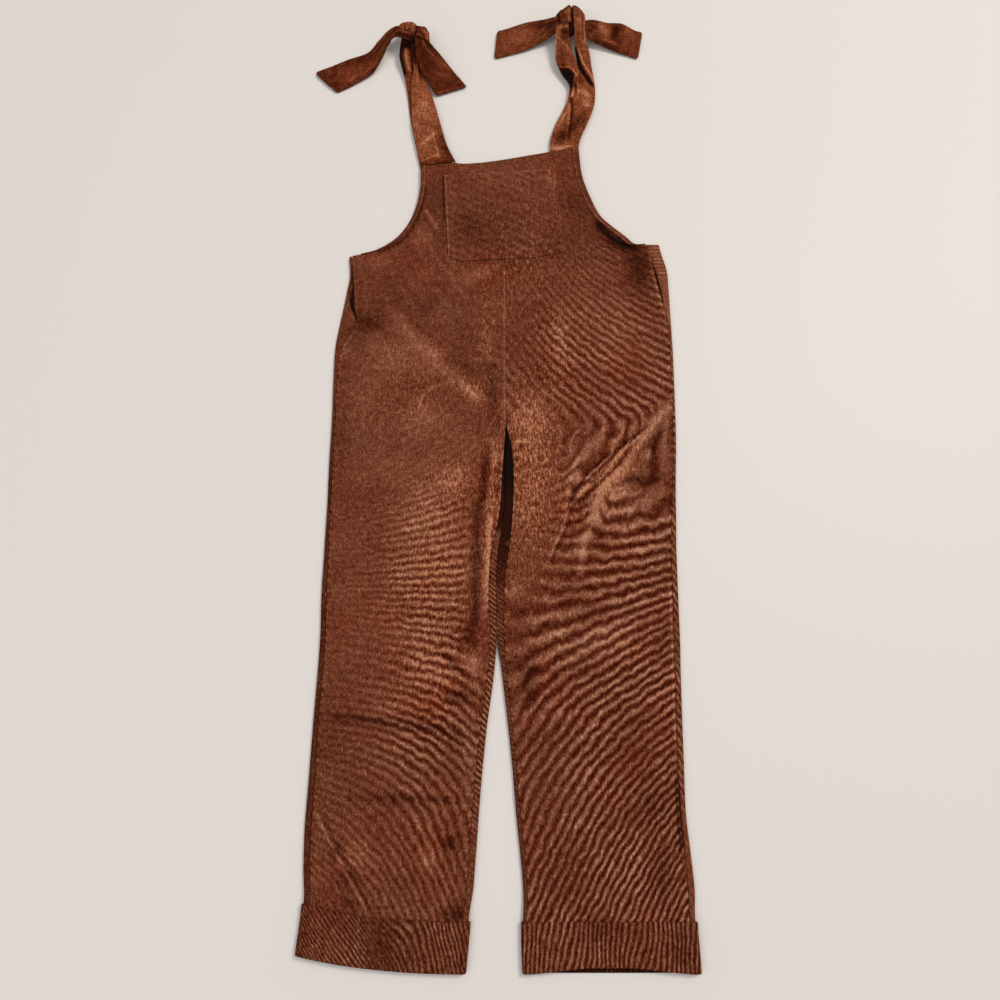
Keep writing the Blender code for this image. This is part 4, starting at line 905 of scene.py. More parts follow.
def rolledEdge(inset, strip, top, base, steps, crown=0.0002):
    # an edge rolled over, from its seam round to the flat: distances inside the edge, heights
    radius = (top - base) / 2
    first = np.maximum(strip, inset + radius + backLook["leastStrip"])
    distance, height = [], []
    for share in (0.0, 0.33, 0.67):
        distance.append(mix(first, inset + radius, share))
        height.append(top + crown * math.sin(math.pi * share))
    for angle in np.radians(np.linspace(90, 270, steps)):
        distance.append(inset + radius * (1 + math.cos(angle)))
        height.append(base + radius * (1 + math.sin(angle)))
    return np.stack(distance, axis=1), np.stack(height, axis=1)


def acrossBack(outerX, outerZ, innerX, innerZ, base):
    # x and height from the outer edge's columns across the flat to the inner edge's
    shares = np.linspace(0.0, 1.0, backLook["flatColumns"] + 2)[None, 1:-1]
    flatX = mix(outerX[:, -1:], innerX[:, -1:], shares)
    flatZ = base[:, None] + np.zeros_like(flatX)
    return (np.concatenate((outerX, flatX, innerX[:, ::-1]), axis=1),
            np.concatenate((outerZ, flatZ, innerZ[:, ::-1]), axis=1))


def backGrid(half, rows):
    # outer face of one back from its outer seam, underneath, to its inner seam
    sign, at, steps = half["sign"], half["at"], backLook["rollSteps"]
    lift = cuffRoom(rows)
    top = edgeTop(rows) + lift
    rolledRows = rows <= half["sideTop"]
    edge = at["outerEdge"](rows)
    strip = np.abs(edge - at["outerSeam"](rows)) - cloth["gap"] / 2 - openingWidth(half, rows) + lift * 0.5
    away, height = rolledEdge(lift, strip, top, lift, steps)
    edge = np.where(rolledRows, edge, half["upperEdge"](rows))
    away = np.where(rolledRows[:, None], away, 0.0)
    height = np.where(rolledRows[:, None], height, lift[:, None])
    below = rows < crotch
    roll = np.where(below, rolledShare(half, rows), 0.0)[:, None]
    closing = backLook["closing"] * ease(*backLook["closes"], rows)
    closing = closing * (1.0 - ease(*backLook["opens"], rows))
    closing = closing + backLook["unrollingReach"] * (roll * (1 - roll))[:, 0]
    innerEdge = np.where(below, at["innerEdge"](rows) - sign * closing, centreX(rows))
    strip = np.abs(innerEdge - at["innerSeam"](rows)) - cloth["gap"] / 2 + lift * 0.5
    innerAway, innerHeight = rolledEdge(lift, strip, top, lift, steps)
    flatAway = cloth["gap"] / 2 + backLook["foldedStep"] * np.arange(rolledColumns)[None, :]
    innerAway, innerHeight = mix(flatAway, innerAway, roll), mix(lift[:, None], innerHeight, roll)
    outerX, innerX = edge[:, None] - sign * away, innerEdge[:, None] + sign * innerAway
    x, z = acrossBack(outerX, height, innerX, innerHeight, lift)
    y = rows[:, None]
    return layers(x, y + rise(half, x, y), z)


def clothWall(name, face, thickness, material, grain, look, leftOut):
    # the same wall for a face with cells cut away, given its thickness by a modifier
    faces = gridFaces(*face.shape[:2])[~leftOut.ravel()]
    points = face.reshape(-1, 3)
    start = points[faces[:, 0]]
    if np.cross(points[faces[:, 1]] - start, points[faces[:, 3]] - start)[:, 2].sum() > 0:
        faces = faces[:, ::-1]
    grain, look = flatList(grain, face.shape), flatList(look, face.shape)
    piece = meshFrom(name, points, faces, grain, look, material)
    wall = piece.modifiers.new("wall", "SOLIDIFY")
    wall.thickness = thickness
    wall.offset = -1.0
    bpy.ops.object.select_all(action="DESELECT")
    piece.select_set(True)
    bpy.context.view_layer.objects.active = piece
    bpy.ops.object.modifier_apply(modifier=wall.name)
    return piece


def edgePuckers(half, side, rolled, y, around):
    # stripes, their strength and the tone on the rolled strip of one side
    look = puckerLook
    along, slant, weight, change = half["ropes"][side]
    if side == "inner":
        fade = ease(*look["innerFades"], y)
    else:
        lasting = 1.0 - look["returning"] * ease(*look["returns"], y)
        fade = look["outerFade"] * (ease(*look["outerFades"], y) * lasting)
    high = ease(*look["hip"], y)
    phase = y * mix(along, look["hipPuckers"], high) + around * slant * (1.0 - high)
    strength = weight * rolled * mix(look["lowStrength"], 1.0, ease(*look["low"], y)) * (1.0 - fade)
    return phase, strength, mix(change, half["hipTone"], ease(*look["toneChanges"], y))


def makeBack(name, half):
    bend, top, low = centreSeam["bendsAt"], half["sideTop"], turnUp["legStart"]
    legs = np.linspace(low, bend, round((bend - low) / backLook["rowStep"]))
    seam = np.linspace(bend, top, backLook["seamRows"])[1:]
    upper = np.linspace(top + backLook["armStart"], backTop, backLook["upperRows"])
    rows = np.concatenate((legs, seam, upper))
    face = backGrid(half, rows)
    y, around = face[..., 1], runAlong(face, 1)
    rolled = rolledShare(half, rows)[:, None]
    phase, tone = y * backLook["plainStripes"], np.zeros_like(y)
    strength = np.full_like(y, backLook["plain"])
    for side, edge, share in (("outer", np.s_[:, :rolledColumns], 1.0),
                              ("inner", np.s_[:, -rolledColumns:], rolled)):
        phase[edge], strength[edge], tone[edge] = edgePuckers(half, side, share, y[edge], around[edge])
    # the cloth at the foot of the gap between the legs lies in shade
    up = rows[:, None]
    onFlat = (1.0 - rolled) * ease(*backLook["flatShade"], up)
    shade = np.maximum(onFlat, half["web"] * ease(*backLook["rolledShade"], up))
    tone[:, -rolledColumns:] -= shade * mix(*backLook["shades"], ease(*backLook["deepens"], up))
    leftOut = np.zeros((len(rows) - 1, face.shape[1] - 1), bool)
    leftOut[len(legs) + len(seam) - 1:, :rolledColumns - 1] = True
    piece = clothWall(f"back_{name}_cloth", face, cloth["wall"], finishes["back"],
                      layers(around, y, phase), layers(tone, strength, backLook["flecks"]), leftOut)
    fit(piece, "back_" + name, ["floor"])


for name, half in halves.items():
    makeBack(name, half)
print("backs ready")


# Turn-ups: double cloth, folded at the hem and at the top.
cuffLook = {
    "columnStep": 0.0026, "rowStep": 0.0024, "width": 0.19, "fold": 0.0011, "side": 0.0002,
    # inside: tone of the back half's inner face, its plain wrong side darkened by painted shade where it
    # shows under the front's raised hem
    "frontFlat": (0.192, 0.056), "backFlat": (0.246, 0.056), "flecks": 0.5, "inside": -0.55,
    "topLine": (0.0006, 63, 2),          # wander of the top edge: height, waves, phase
    "wander": (0.5, 70, 30),             # of the stripes: how many, waves across and along
    "calmShare": 0.5, "archPower": 1.4, "sideRise": 0.006,
    "leans": (0.06, 0.15),               # distances from the outer seam between which the lean changes
    # stripes a metre across, along by the outer seam and along far from it; spots of tone, calm spots
    "left": {
        "tone": -0.10, "strength": 0.62, "stripes": (-170, -150, -44),
        "spots": ((-0.140, 0.028, 0.018, 0.026, 0, -0.14), (-0.200, 0.020, 0.02, 0.02, 0, 0.06)),
        "calm": ((-0.145, 0.025, 0.016, 0.04, 0, 1.0),),
        "ripples": ((0.00022, 0.045, 0.3), (0.00012, 0.016, 0.4)),
    },
    "right": {
        "tone": -0.06, "strength": 0.85, "stripes": (-158, 24, 24),
        "spots": ((0.120, 0.045, 0.020, 0.012, 0, -0.14), (0.215, 0.030, 0.012, 0.03, 0, -0.10),
                  (0.060, 0.030, 0.020, 0.02, 0, 0.05)),
        "calm": (),
        "ripples": ((0.00022, 0.045, 2.3), (0.00012, 0.016, 0.4)),
    },
}


def finishCuff(name, half, side, x, y, z, outer, restsOn):
    # both halves of a turn-up get their slope, wandering top edge, stripes and spots alike
    own, isFront = cuffLook[name], side == "front"
    height, waveCount, phase = cuffLook["topLine"]
    topLine = height * np.sin(waveCount * x + phase) * ease(0.5, 1.0, y / turnUp["depth"])
    face = layers(x, y + rise(half, x, y) + topLine, z)
    across, slope, farSlope = own["stripes"]
    lean = mix(slope, farSlope, ease(*cuffLook["leans"], np.abs(x - outer)))
    wander, waveX, waveY = cuffLook["wander"]
    stripes = x * across + y * lean + wander * np.sin(waveX * x + waveY * y)
    tone = patches(x, y, own["spots"]) + own["tone"]
    strength = own["strength"] - (cuffLook["calmShare"] * patches(x, y, own["calm"]) if isFront else 0.0)
    piece = clothShell(f"cuff_{name}_{side}_cloth", face, cloth["double"], finishes["cuff"],
                       layers(x if isFront else runAlong(face, 1), y, stripes),
                       layers(tone, strength, cuffLook["flecks"]), (cuffLook["fold"], cuffLook["side"]),
                       isFront, 0.0 if isFront else cuffLook["inside"])
    fit(piece, f"cuff_{name}_{side}", restsOn)


def makeCuffFront(name, half, rows):
    sign, at, depth, width = half["sign"], half["at"], turnUp["depth"], cuffLook["width"]
    reach = cloth["gap"] * 0.45
    outer, inner = at["outerSeam"](rows) + sign * reach, at["innerSeam"](rows) - sign * reach
    shares = places(1.0, cuffLook["columnStep"] / width, cuffLook["fold"] / width)
    x = mix(outer[:, None], inner[:, None], shares[None, :])
    arch = half["hemArch"] * np.sin(math.pi * shares)[None, :] ** cuffLook["archPower"]
    y = mix(arch, depth, rows[:, None] / depth)
    fromSide = np.minimum(shares, 1.0 - shares) * width
    uneven = ripples(x, y, cuffLook[name]["ripples"]) * ease(0.0, cuffLook["sideRise"], fromSide)
    finishCuff(name, half, "front", x, y, turnUp["face"] + uneven, outer[:, None], ["front_" + name])


def makeCuffBack(name, half, rows):
    at, zero, ends = half["at"], np.zeros_like(rows), []
    for side, inwards in (("outer", -half["sign"]), ("inner", half["sign"])):
        edge = at[side + "Edge"](rows)
        strip = np.abs(edge - at[side + "Seam"](rows)) - cloth["gap"] / 2
        away, height = rolledEdge(zero, strip, zero + turnUp["face"], zero, backLook["rollSteps"] + 2, 0.0)
        ends += [edge[:, None] + inwards * away, height]
    x, z = acrossBack(*ends, zero)
    finishCuff(name, half, "back", x, rows[:, None], z, at["outerSeam"](rows)[:, None], ["floor"])


for name, half in halves.items():
    rows = places(turnUp["depth"], cuffLook["rowStep"], cuffLook["fold"])
    makeCuffFront(name, half, rows)
    makeCuffBack(name, half, rows)
print("turn-ups ready")


# The bib pocket, a patch with clipped lower corners.
pocketLook = {
    "topLeft": (-0.0880, 1.115), "topRight": (0.0790, 1.126),
    "lowLeft": (-0.0795, 0.959), "lowRight": (0.1000, 0.969),
    "clips": ((0.0, 0.10, 0.0115), (1.0, 0.26, 0.0080)),       # end, share of the width, height
    "width": 0.17, "height": 0.156, "step": 0.0026, "hem": 0.0009, "flat": (0.173, 0.164),
    "stripes": (70, 35), "strength": 0.12, "tone": 0.01, "flecks": 0.35,
    # painted highlights along the raised edges, and stitch lines: edge that they run along, distance from
    # it, half width, tone
    "lines": (("left", 0.0014, 0.0012, 0.32), ("left", 0.0080, 0.0010, 0.10),
              ("top", 0.0012, 0.0010, 0.12), ("top", 0.0180, 0.0010, 0.10),
              ("right", 0.0014, 0.0012, 0.14)),
}


def makePocket():
    width, height, hem = pocketLook["width"], pocketLook["height"], pocketLook["hem"]
    topLeft, topRight, lowLeft, lowRight = (np.array(pocketLook[key])
                                            for key in ("topLeft", "topRight", "lowLeft", "lowRight"))
    u = places(1.0, pocketLook["step"] / width, hem / width)[None, :, None]
    v = places(1.0, pocketLook["step"] / height, hem / height)[:, None, None]
    low = mix(lowLeft, lowRight, u)
    for end, share, lift in pocketLook["clips"]:
        low[..., 1] += lift * np.maximum(1.0 - np.abs(u[..., 0] - end) / share, 0.0)
    spot = mix(low, mix(topLeft, topRight, u), v)
    x, y = spot[..., 0], spot[..., 1]
    face = layers(x, y, frontHeight(x, y) + 1.5 * cloth["gap"] + cloth["wall"])
    along, across = pocketLook["stripes"]
    fromLeft, fromTop = u[..., 0] * width, (1.0 - v[..., 0]) * height
    fromEdge = {"left": fromLeft, "right": width - fromLeft, "top": fromTop}
    tone = patches(x, y, napAndShadePatches) + pocketLook["tone"]
    for edge, distance, size, change in pocketLook["lines"]:
        tone = tone + change * bell(fromEdge[edge] - distance, size)
    flecks = pocketLook["flecks"] + patches(x, y, fleckPatches)
    look = layers(tone, pocketLook["strength"], flecks)
    piece = clothShell("bib_pocket_cloth", face, cloth["wall"], finishes["pocket"],
                       layers(x, y, x * across + y * along), look, (hem, hem))
    fit(piece, "bib_pocket", ["front_left", "front_right"])


makePocket()

# Armhole bands: from a share of the rows above the bend, between two shares of their width;
# higher up they lie flat, their inner edge down on the front.
bandLook = {
    "rowStep": 0.0022, "columns": 10, "from": 0.2, "between": (0.02, 0.96), "liesFlat": (1.035, 1.075),
    # crest: how its height spreads across and what it loses where the band lies flat; then the
    # shares of the width between which it turns down there
    "crestPower": 0.7, "crestLoss": 0.8, "turnsDown": (0.78, 0.96),
    "rounding": (0.0006, 0.12),          # at the ends in metres, at the sides as a share
    # painted highlight along the band's raised crest: tone, where across, half width
    "crestHighlight": (0.26, 0.80, 0.10), "stripes": (150, 60), "tone": -0.08, "strength": 0.08, "flecks": 0.4,
    "flat": {"left": (0.0105, 0.162), "right": (0.0120, 0.190)},
    "area": {"left": 0.00125, "right": 0.00200},
}


def makeBand(name, half):
    top, (near, far) = centreSeam["top"][1], bandLook["between"]
    start = mix(centreSeam["bendsAt"], top, bandLook["from"])
    endRounding, sideRounding = bandLook["rounding"]
    rows = start + places(top - start, bandLook["rowStep"], endRounding)
    shares = mix(near, far, places(1.0, 1.0 / bandLook["columns"], sideRounding))
    face = frontFace(half, rows, fromOuter=shares * half["bandWidth"])
    lying = ease(*bandLook["liesFlat"], rows)[:, None]
    spread = ((shares - near) / (far - near))[None, :] ** bandLook["crestPower"]
    crest = half["bandCrest"] * (1.0 - bandLook["crestLoss"] * lying) * spread
    dip = (cloth["gap"] + cloth["wall"] / 2) * lying * ease(*bandLook["turnsDown"], shares)[None, :]
    face[..., 2] += cloth["gap"] + cloth["wall"] + crest - dip
    along, across = bandLook["stripes"]
    stripes = runAlong(face)[:, :1] * along + shares[None, :] * half["bandWidth"] * across
    crestHighlight, crestHighlightAt, crestHighlightWidth = bandLook["crestHighlight"]
    tone = crestHighlight * bell(shares - crestHighlightAt, crestHighlightWidth) + bandLook["tone"]
    piece = clothShell(f"armhole_band_{name}_cloth", face, cloth["wall"], finishes["band"],
                       layers(face[..., 0], face[..., 1], stripes),
                       layers(tone, bandLook["strength"], bandLook["flecks"]))
    fit(piece, "armhole_band_" + name, ["front_" + name])


# Cloth behind the side openings, from inside the seam to past it where the strip is wide enough.
sidePocketLook = {
    "below": 0.004, "shorter": 0.002, "rowStep": 0.003, "columnShare": 0.12, "sideShare": 0.03,
    "past": (-0.003, 0.010), "fromEdge": 0.0065, "inside": 0.018,
    "flat": (0.030, 0.110), "area": 0.0026,
    # the cloth behind the openings is dark: painted shade, as it lies deep in them
    "stripes": 60, "look": (-0.66, 0.1, 0.0),        # tone, strength of the stripes, flecks
}


def makeSidePocket(name, half):
    look, sign = sidePocketLook, half["sign"]
    low, high, _ = half["openings"][0]
    rows = (low - look["below"]) + places(high - low - look["shorter"], look["rowStep"], rounding)
    seam = half["at"]["outerSeam"](rows)
    strip = np.abs(half["at"]["outerEdge"](rows) - seam)
    start = seam + sign * np.clip(strip - look["fromEdge"], *look["past"])
    end, shares = seam - sign * look["inside"], places(1.0, look["columnShare"], look["sideShare"])
    x = mix(start[:, None], end[:, None], shares[None, :])
    y = rows[:, None]
    face = layers(x, y, 2 * cloth["wall"] + cloth["gap"])
    piece = clothShell(f"side_pocket_{name}_cloth", face, cloth["wall"], finishes["back"],
                       layers(x, y, x * look["stripes"]), look["look"])
    fit(piece, "side_pocket_" + name, ["back_" + name])


for name, half in halves.items():
    makeBand(name, half)
    makeSidePocket(name, half)
print("pocket, armhole bands and side pockets ready")


# Straps and ties, each a folded tube of cloth:
# sections from its left to its right edge, as x, y and height of the face;
# creases: route as share across and row of the sections, half width, height, tone, which paints the
# crease's highlight and shade;
# spots: share across, row, half width as a share, half length in rows, tone, the cloth's own lighter and
# darker places and painted shade under turns and twists;
# pleats: how many, and the rows between which they gather (or run out, where they start at 0).
stripLook = {
    "columnStep": 0.0014, "rowStep": 0.0015, "fold": 0.0011, "corner": 0.0055, "end": 0.0003,
    "crown": 0.0012, "crownWithin": 0.12, "crownPower": 0.7,     # it rises within that share of the length
    # pleats: height; painted light and shade, lighter on their crests and darker in their folds; wander
    "pleat": 0.00045, "pleatLightAndShade": 0.14, "pleatWander": 0.15,
    "creaseFade": (0.2, 0.08),           # share of a crease that fades at each end, and its head start
    # height, length and seed of the ripples; tone, length and seed of the mottle
    "ripples": ((0.00022, 0.034, 1.0), (0.0001, 0.013, 2.0)), "mottle": (0.05, 0.022, 0.3),
    "stripes": (40, 60), "strength": 0.25, "flecks": 0.25,
}
strips = {
    "strap_front_left": {
        "flat": (0.048, 0.185), "tone": 0.16, "pleats": (4, 4.6, 7.0),
        "sections": (
            ((-0.1262, 1.1338, 0.006), (-0.0705, 1.1413, 0.006)),
            ((-0.1341, 1.169, 0.0065), (-0.0846, 1.1725, 0.0065)),
            ((-0.1421, 1.2107, 0.0068), (-0.0957, 1.213, 0.0068)),
            ((-0.145, 1.26, 0.0075), (-0.108, 1.259, 0.007)),
            ((-0.1462, 1.29, 0.009), (-0.118, 1.29, 0.0075)),
            ((-0.143, 1.314, 0.012), (-0.126, 1.316, 0.0095)),
            ((-0.145, 1.338, 0.015), (-0.128, 1.339, 0.012)),
            ((-0.148, 1.368, 0.018), (-0.13, 1.368, 0.017)),
        ),
        "creases": (
            (((0.08, 1.02), (0.4, 1.28), (0.74, 1.62)), 0.0016, 0.0007, 0.26),
            (((0.6, 0.35), (0.66, 1.6)), 0.0009, -0.0004, 0.28),
            (((0.05, 0.22), (0.62, 0.5)), 0.001, 0.0003, 0.3),
            (((0.34, 4.1), (0.42, 4.8), (0.4, 5.5)), 0.002, 0.0014, 0.22),
            (((0.62, 4.3), (0.58, 5.6)), 0.0018, -0.0014, -0.45),
            (((0.3, 1.9), (0.62, 2.7), (0.58, 3.6)), 0.004, 0.0005, 0.05),
            (((0.12, 2.6), (0.2, 3.9), (0.12, 4.6)), 0.0028, -0.0006, -0.06),
        ),
        "spots": (
            (0.9, 0.9, 0.22, 0.8, -0.4), (0.4, 0.0, 0.9, 0.24, -0.34), (0.45, 2.55, 0.35, 0.45, 0.1),
            (0.55, 2.05, 0.2, 0.25, -0.1), (0.3, 6.4, 0.6, 0.8, -0.6), (0.85, 5.2, 0.3, 0.5, -0.4),
        ),
    },
    "strap_back_left": {
        "flat": (0.052, 0.19), "tone": 0.02, "pleats": (2, 4.0, 7.0),
        "sections": (
            ((-0.122, 1.1056, 0.0026), (-0.072, 1.1056, 0.0026)),
            ((-0.135, 1.17, 0.0027), (-0.088, 1.17, 0.0027)),
            ((-0.145, 1.22, 0.0028), (-0.102, 1.22, 0.0028)),
            ((-0.1515, 1.268, 0.003), (-0.12, 1.268, 0.003)),
            ((-0.156, 1.297, 0.005), (-0.133, 1.298, 0.0035)),
            ((-0.161, 1.318, 0.0085), (-0.135, 1.32, 0.0055)),
            ((-0.167, 1.345, 0.014), (-0.137, 1.346, 0.009)),
            ((-0.164, 1.372, 0.019), (-0.144, 1.373, 0.015)),
        ),
        "creases": (
            (((0.46, 4.9), (0.36, 5.6), (0.38, 6.4)), 0.002, 0.0012, 0.36),
            # the two dark creases are painted shadow beside the strap's neck
            (((0.8, 3.6), (0.8, 5.0), (0.86, 6.2)), 0.0036, -0.0012, -1.0),
            (((0.05, 4.6), (0.04, 6.6)), 0.0034, -0.001, -0.9),
        ),
        "spots": ((0.6, 6.7, 0.6, 0.4, -0.6), (0.5, 2.0, 0.5, 1.6, -0.1)),
    },
    "strap_front_right": {
        "flat": (0.048, 0.195), "tone": 0.09, "pleats": (2, 7.0, 10.0),
        "sections": (
            ((0.0795, 1.1611, 0.006), (0.1255, 1.1669, 0.006)),
            ((0.0815, 1.186, 0.0065), (0.13, 1.186, 0.0065)),
            ((0.0912, 1.2165, 0.0068), (0.141, 1.213, 0.0068)),
            ((0.1068, 1.25, 0.0075), (0.152, 1.245, 0.0072)),
            ((0.112, 1.269, 0.0085), (0.149, 1.27, 0.0085)), ((0.113, 1.29, 0.008), (0.137, 1.289, 0.01)),
            ((0.1015, 1.311, 0.0085), (0.131, 1.311, 0.011)),
            ((0.0925, 1.333, 0.013), (0.127, 1.332, 0.012)),
            ((0.0915, 1.356, 0.0165), (0.119, 1.356, 0.015)),
            ((0.0921, 1.379, 0.024), (0.1147, 1.381, 0.0235)),
            ((0.093, 1.387, 0.027), (0.1141, 1.39, 0.0265)),
            ((0.0935, 1.3903, 0.029), (0.1136, 1.3953, 0.029)),
        ),
        "creases": (
            (((0.63, 0.85), (0.42, 2.2), (0.19, 3.1), (0.1, 3.8)), 0.0012, -0.0014, -0.6),
            (((0.58, 0.85), (0.36, 2.2), (0.13, 3.1)), 0.0012, 0.0007, 0.3),
            (((0.03, 6.6), (0.24, 6.44), (0.47, 6.5), (0.64, 6.26), (0.77, 5.8)), 0.0012, 0.0018, 0.85),
            (((0.77, 5.85), (0.5, 5.35), (0.28, 4.86), (0.14, 3.67)), 0.0012, 0.0018, 0.75),
            (((0.04, 8.75), (0.45, 8.4), (0.72, 8.05), (0.94, 7.65)), 0.0014, 0.0009, 0.3),
            (((0.98, 6.3), (0.56, 4.85), (0.3, 3.2)), 0.0012, 0.0006, 0.3),
            (((0.02, 7.5), (0.03, 8.9), (0.03, 9.9)), 0.0014, 0.0006, 0.34),
            (((0.02, 9.95), (0.95, 9.95)), 0.0016, 0.0004, 0.45),
            (((0.36, 0.15), (0.75, 0.3)), 0.002, 0.0004, 0.25),
        ),
        "spots": (
            # the darkest spots are painted shade under the strap's twisted edge
            (0.16, 5.55, 0.26, 0.8, -2.2), (0.45, 5.9, 0.18, 0.4, -1.2), (0.76, 4.1, 0.22, 0.55, 0.32),
            (0.74, 3.1, 0.16, 0.35, 0.26), (0.7, 2.1, 0.2, 0.7, -0.32), (0.36, 1.15, 0.2, 0.55, -0.42),
            (0.25, 0.2, 0.4, 0.3, 0.34), (0.12, 2.1, 0.1, 0.7, 0.28), (0.72, 9.1, 0.25, 0.6, -0.6),
            (0.3, 7.5, 0.3, 0.5, -0.16), (0.8, 5.4, 0.2, 0.5, -0.25),
        ),
    },
    "strap_back_right": {
        "flat": (0.052, 0.2), "tone": 0.1, "pleats": (1, 7.0, 13.0),
        "sections": (
            ((0.073, 1.1056, 0.0026), (0.121, 1.1056, 0.0026)),
            ((0.086, 1.18, 0.0027), (0.127, 1.178, 0.0027)),
            ((0.102, 1.22, 0.0028), (0.14, 1.215, 0.0028)), ((0.12, 1.255, 0.003), (0.1535, 1.25, 0.003)),
            ((0.134, 1.278, 0.0042), (0.1568, 1.278, 0.0042)),
            ((0.134, 1.3, 0.0048), (0.155, 1.302, 0.0075)),
            ((0.13, 1.322, 0.0075), (0.1515, 1.323, 0.011)),
            ((0.1262, 1.344, 0.011), (0.1492, 1.345, 0.014)),
            ((0.1225, 1.365, 0.018), (0.1455, 1.365, 0.018)),
            ((0.1232, 1.39, 0.023), (0.142, 1.391, 0.022)),
            ((0.1212, 1.4075, 0.03), (0.1417, 1.4086, 0.029)),
            ((0.121, 1.4157, 0.033), (0.1379, 1.4158, 0.032)),
            ((0.1208, 1.431, 0.03), (0.1316, 1.4286, 0.028)),
            ((0.1212, 1.44, 0.02), (0.1296, 1.438, 0.019)), ((0.1206, 1.436, 0.01), (0.129, 1.434, 0.01)),
        ),
        "creases": (
            (((0.22, 7.6), (0.36, 6.6), (0.56, 5.9), (0.8, 5.35), (0.93, 4.7)), 0.0012, 0.001, 0.6),
            # the deep dark crease is painted shade along the strand's turned-under side
            (((0.02, 7.6), (0.12, 6.4), (0.3, 5.6), (0.55, 5.0), (0.78, 4.5)), 0.0024, -0.0014, -2.0),
            (((0.78, 11.0), (0.76, 9.6), (0.66, 8.2)), 0.0011, -0.0007, -0.3),
            (((0.9, 11.0), (0.88, 9.4), (0.84, 8.0)), 0.0012, 0.0006, 0.22),
        ),
        "spots": ((0.3, 8.3, 0.2, 0.8, -0.12), (0.4, 9.6, 0.25, 0.5, 0.16), (0.5, 12.6, 0.6, 0.7, -0.5)),
    },
    "tie_left_outer": {
        "flat": (0.046, 0.13), "tone": -0.15, "pleats": (2, 0.0, 3.4),
        "sections": (
            ((-0.156, 1.3725, 0.021), (-0.155, 1.3915, 0.023)),
            ((-0.1745, 1.3735, 0.021), (-0.172, 1.395, 0.024)),
            ((-0.1861, 1.3604, 0.017), (-0.188, 1.385, 0.022)),
            ((-0.196, 1.34, 0.011), (-0.202, 1.37, 0.018)),
            ((-0.2114, 1.3157, 0.006), (-0.22, 1.3515, 0.012)),
            ((-0.2412, 1.2944, 0.004), (-0.25, 1.343, 0.008)),
            ((-0.257, 1.285, 0.003), (-0.278, 1.332, 0.005)),
            ((-0.269, 1.2783, 0.0028), (-0.3088, 1.319, 0.0035)),
        ),
        "creases": (
            (((0.9, 0.4), (0.84, 1.8), (0.93, 3.4)), 0.0024, 0.001, 0.24),
            (((0.55, 0.2), (0.5, 2.0), (0.62, 3.6)), 0.002, -0.0009, -0.3),
            (((0.3, 2.4), (0.25, 4.0), (0.2, 5.5)), 0.0022, 0.0006, 0.16),
            (((0.03, 1.5), (0.03, 4.2)), 0.0016, -0.0004, -0.22),
        ),
        "spots": ((0.45, 5.3, 0.3, 0.9, 0.16), (0.8, 4.3, 0.2, 0.6, -0.14), (0.3, 6.5, 0.4, 0.5, -0.08)),
    },
    "tie_left_inner": {
        "flat": (0.044, 0.118), "tone": -0.21, "pleats": (2, 0.0, 2.2),
        "sections": (
            ((-0.144, 1.386, 0.027), (-0.126, 1.382, 0.024)),
            ((-0.1408, 1.3721, 0.027), (-0.1196, 1.3674, 0.023)),
            ((-0.1385, 1.34, 0.024), (-0.0981, 1.3446, 0.015)),
            ((-0.131, 1.3136, 0.0175), (-0.0748, 1.315, 0.008)),
            ((-0.12, 1.296, 0.0125), (-0.064, 1.3025, 0.0055)),
            ((-0.1056, 1.2707, 0.0035), (-0.0538, 1.2902, 0.0035)),
        ),
        "creases": (
            (((0.4, 0.2), (0.5, 1.2), (0.55, 1.9), (0.72, 2.25)), 0.0012, 0.0009, 0.5),
            (((0.62, 0.3), (0.72, 1.2), (0.84, 1.9)), 0.0018, -0.001, -0.3),
            (((0.04, 4.88), (0.97, 4.88)), 0.001, 0.0002, 0.3),
        ),
        "spots": (
            (0.8, 2.55, 0.16, 0.3, 0.3), (0.55, 3.5, 0.22, 0.45, 0.22), (0.3, 2.2, 0.2, 0.9, -0.14),
            (0.7, 0.7, 0.3, 0.5, -0.3),
        ),
    },
    "tie_right_inner": {
        "flat": (0.048, 0.112), "tone": -0.04, "pleats": (2, 0.0, 1.8),
        "sections": (
            ((0.1, 1.392, 0.02), (0.1, 1.418, 0.024)), ((0.0857, 1.3827, 0.015), (0.08, 1.415, 0.02)),
            ((0.064, 1.3735, 0.0085), (0.06, 1.4165, 0.0145)),
            ((0.0396, 1.3634, 0.005), (0.042, 1.417, 0.01)),
            ((0.015, 1.3556, 0.0035), (0.0107, 1.4087, 0.006)),
            ((-0.0099, 1.3478, 0.003), (-0.0048, 1.4066, 0.0035)),
        ),
        "creases": (
            (((0.2, 1.75), (0.28, 1.3), (0.34, 0.7)), 0.0012, 0.0007, 0.34),
            (((0.6, 0.2), (0.7, 1.2), (0.62, 2.0)), 0.002, -0.0008, -0.22),
        ),
        "spots": (
            (0.5, 3.2, 0.32, 0.9, 0.18), (0.45, 0.9, 0.3, 0.45, -0.34), (0.8, 1.8, 0.16, 0.5, -0.2),
            (0.6, 4.3, 0.3, 0.4, 0.05),
        ),
    },
    "tie_right_outer": {
        "flat": (0.05, 0.112), "tone": -0.06, "pleats": (2, 0.0, 2.0),
        "sections": (
            ((0.128, 1.408, 0.02), (0.128, 1.388, 0.017)),
            ((0.1437, 1.413, 0.0185), (0.145, 1.3815, 0.0135)),
            ((0.158, 1.4171, 0.016), (0.1623, 1.3741, 0.009)),
            ((0.1803, 1.414, 0.013), (0.18, 1.3668, 0.006)),
            ((0.205, 1.4141, 0.011), (0.1965, 1.3602, 0.0045)),
            ((0.227, 1.4055, 0.006), (0.214, 1.354, 0.0035)),
            ((0.2408, 1.4044, 0.0035), (0.2304, 1.3474, 0.003)),
        ),
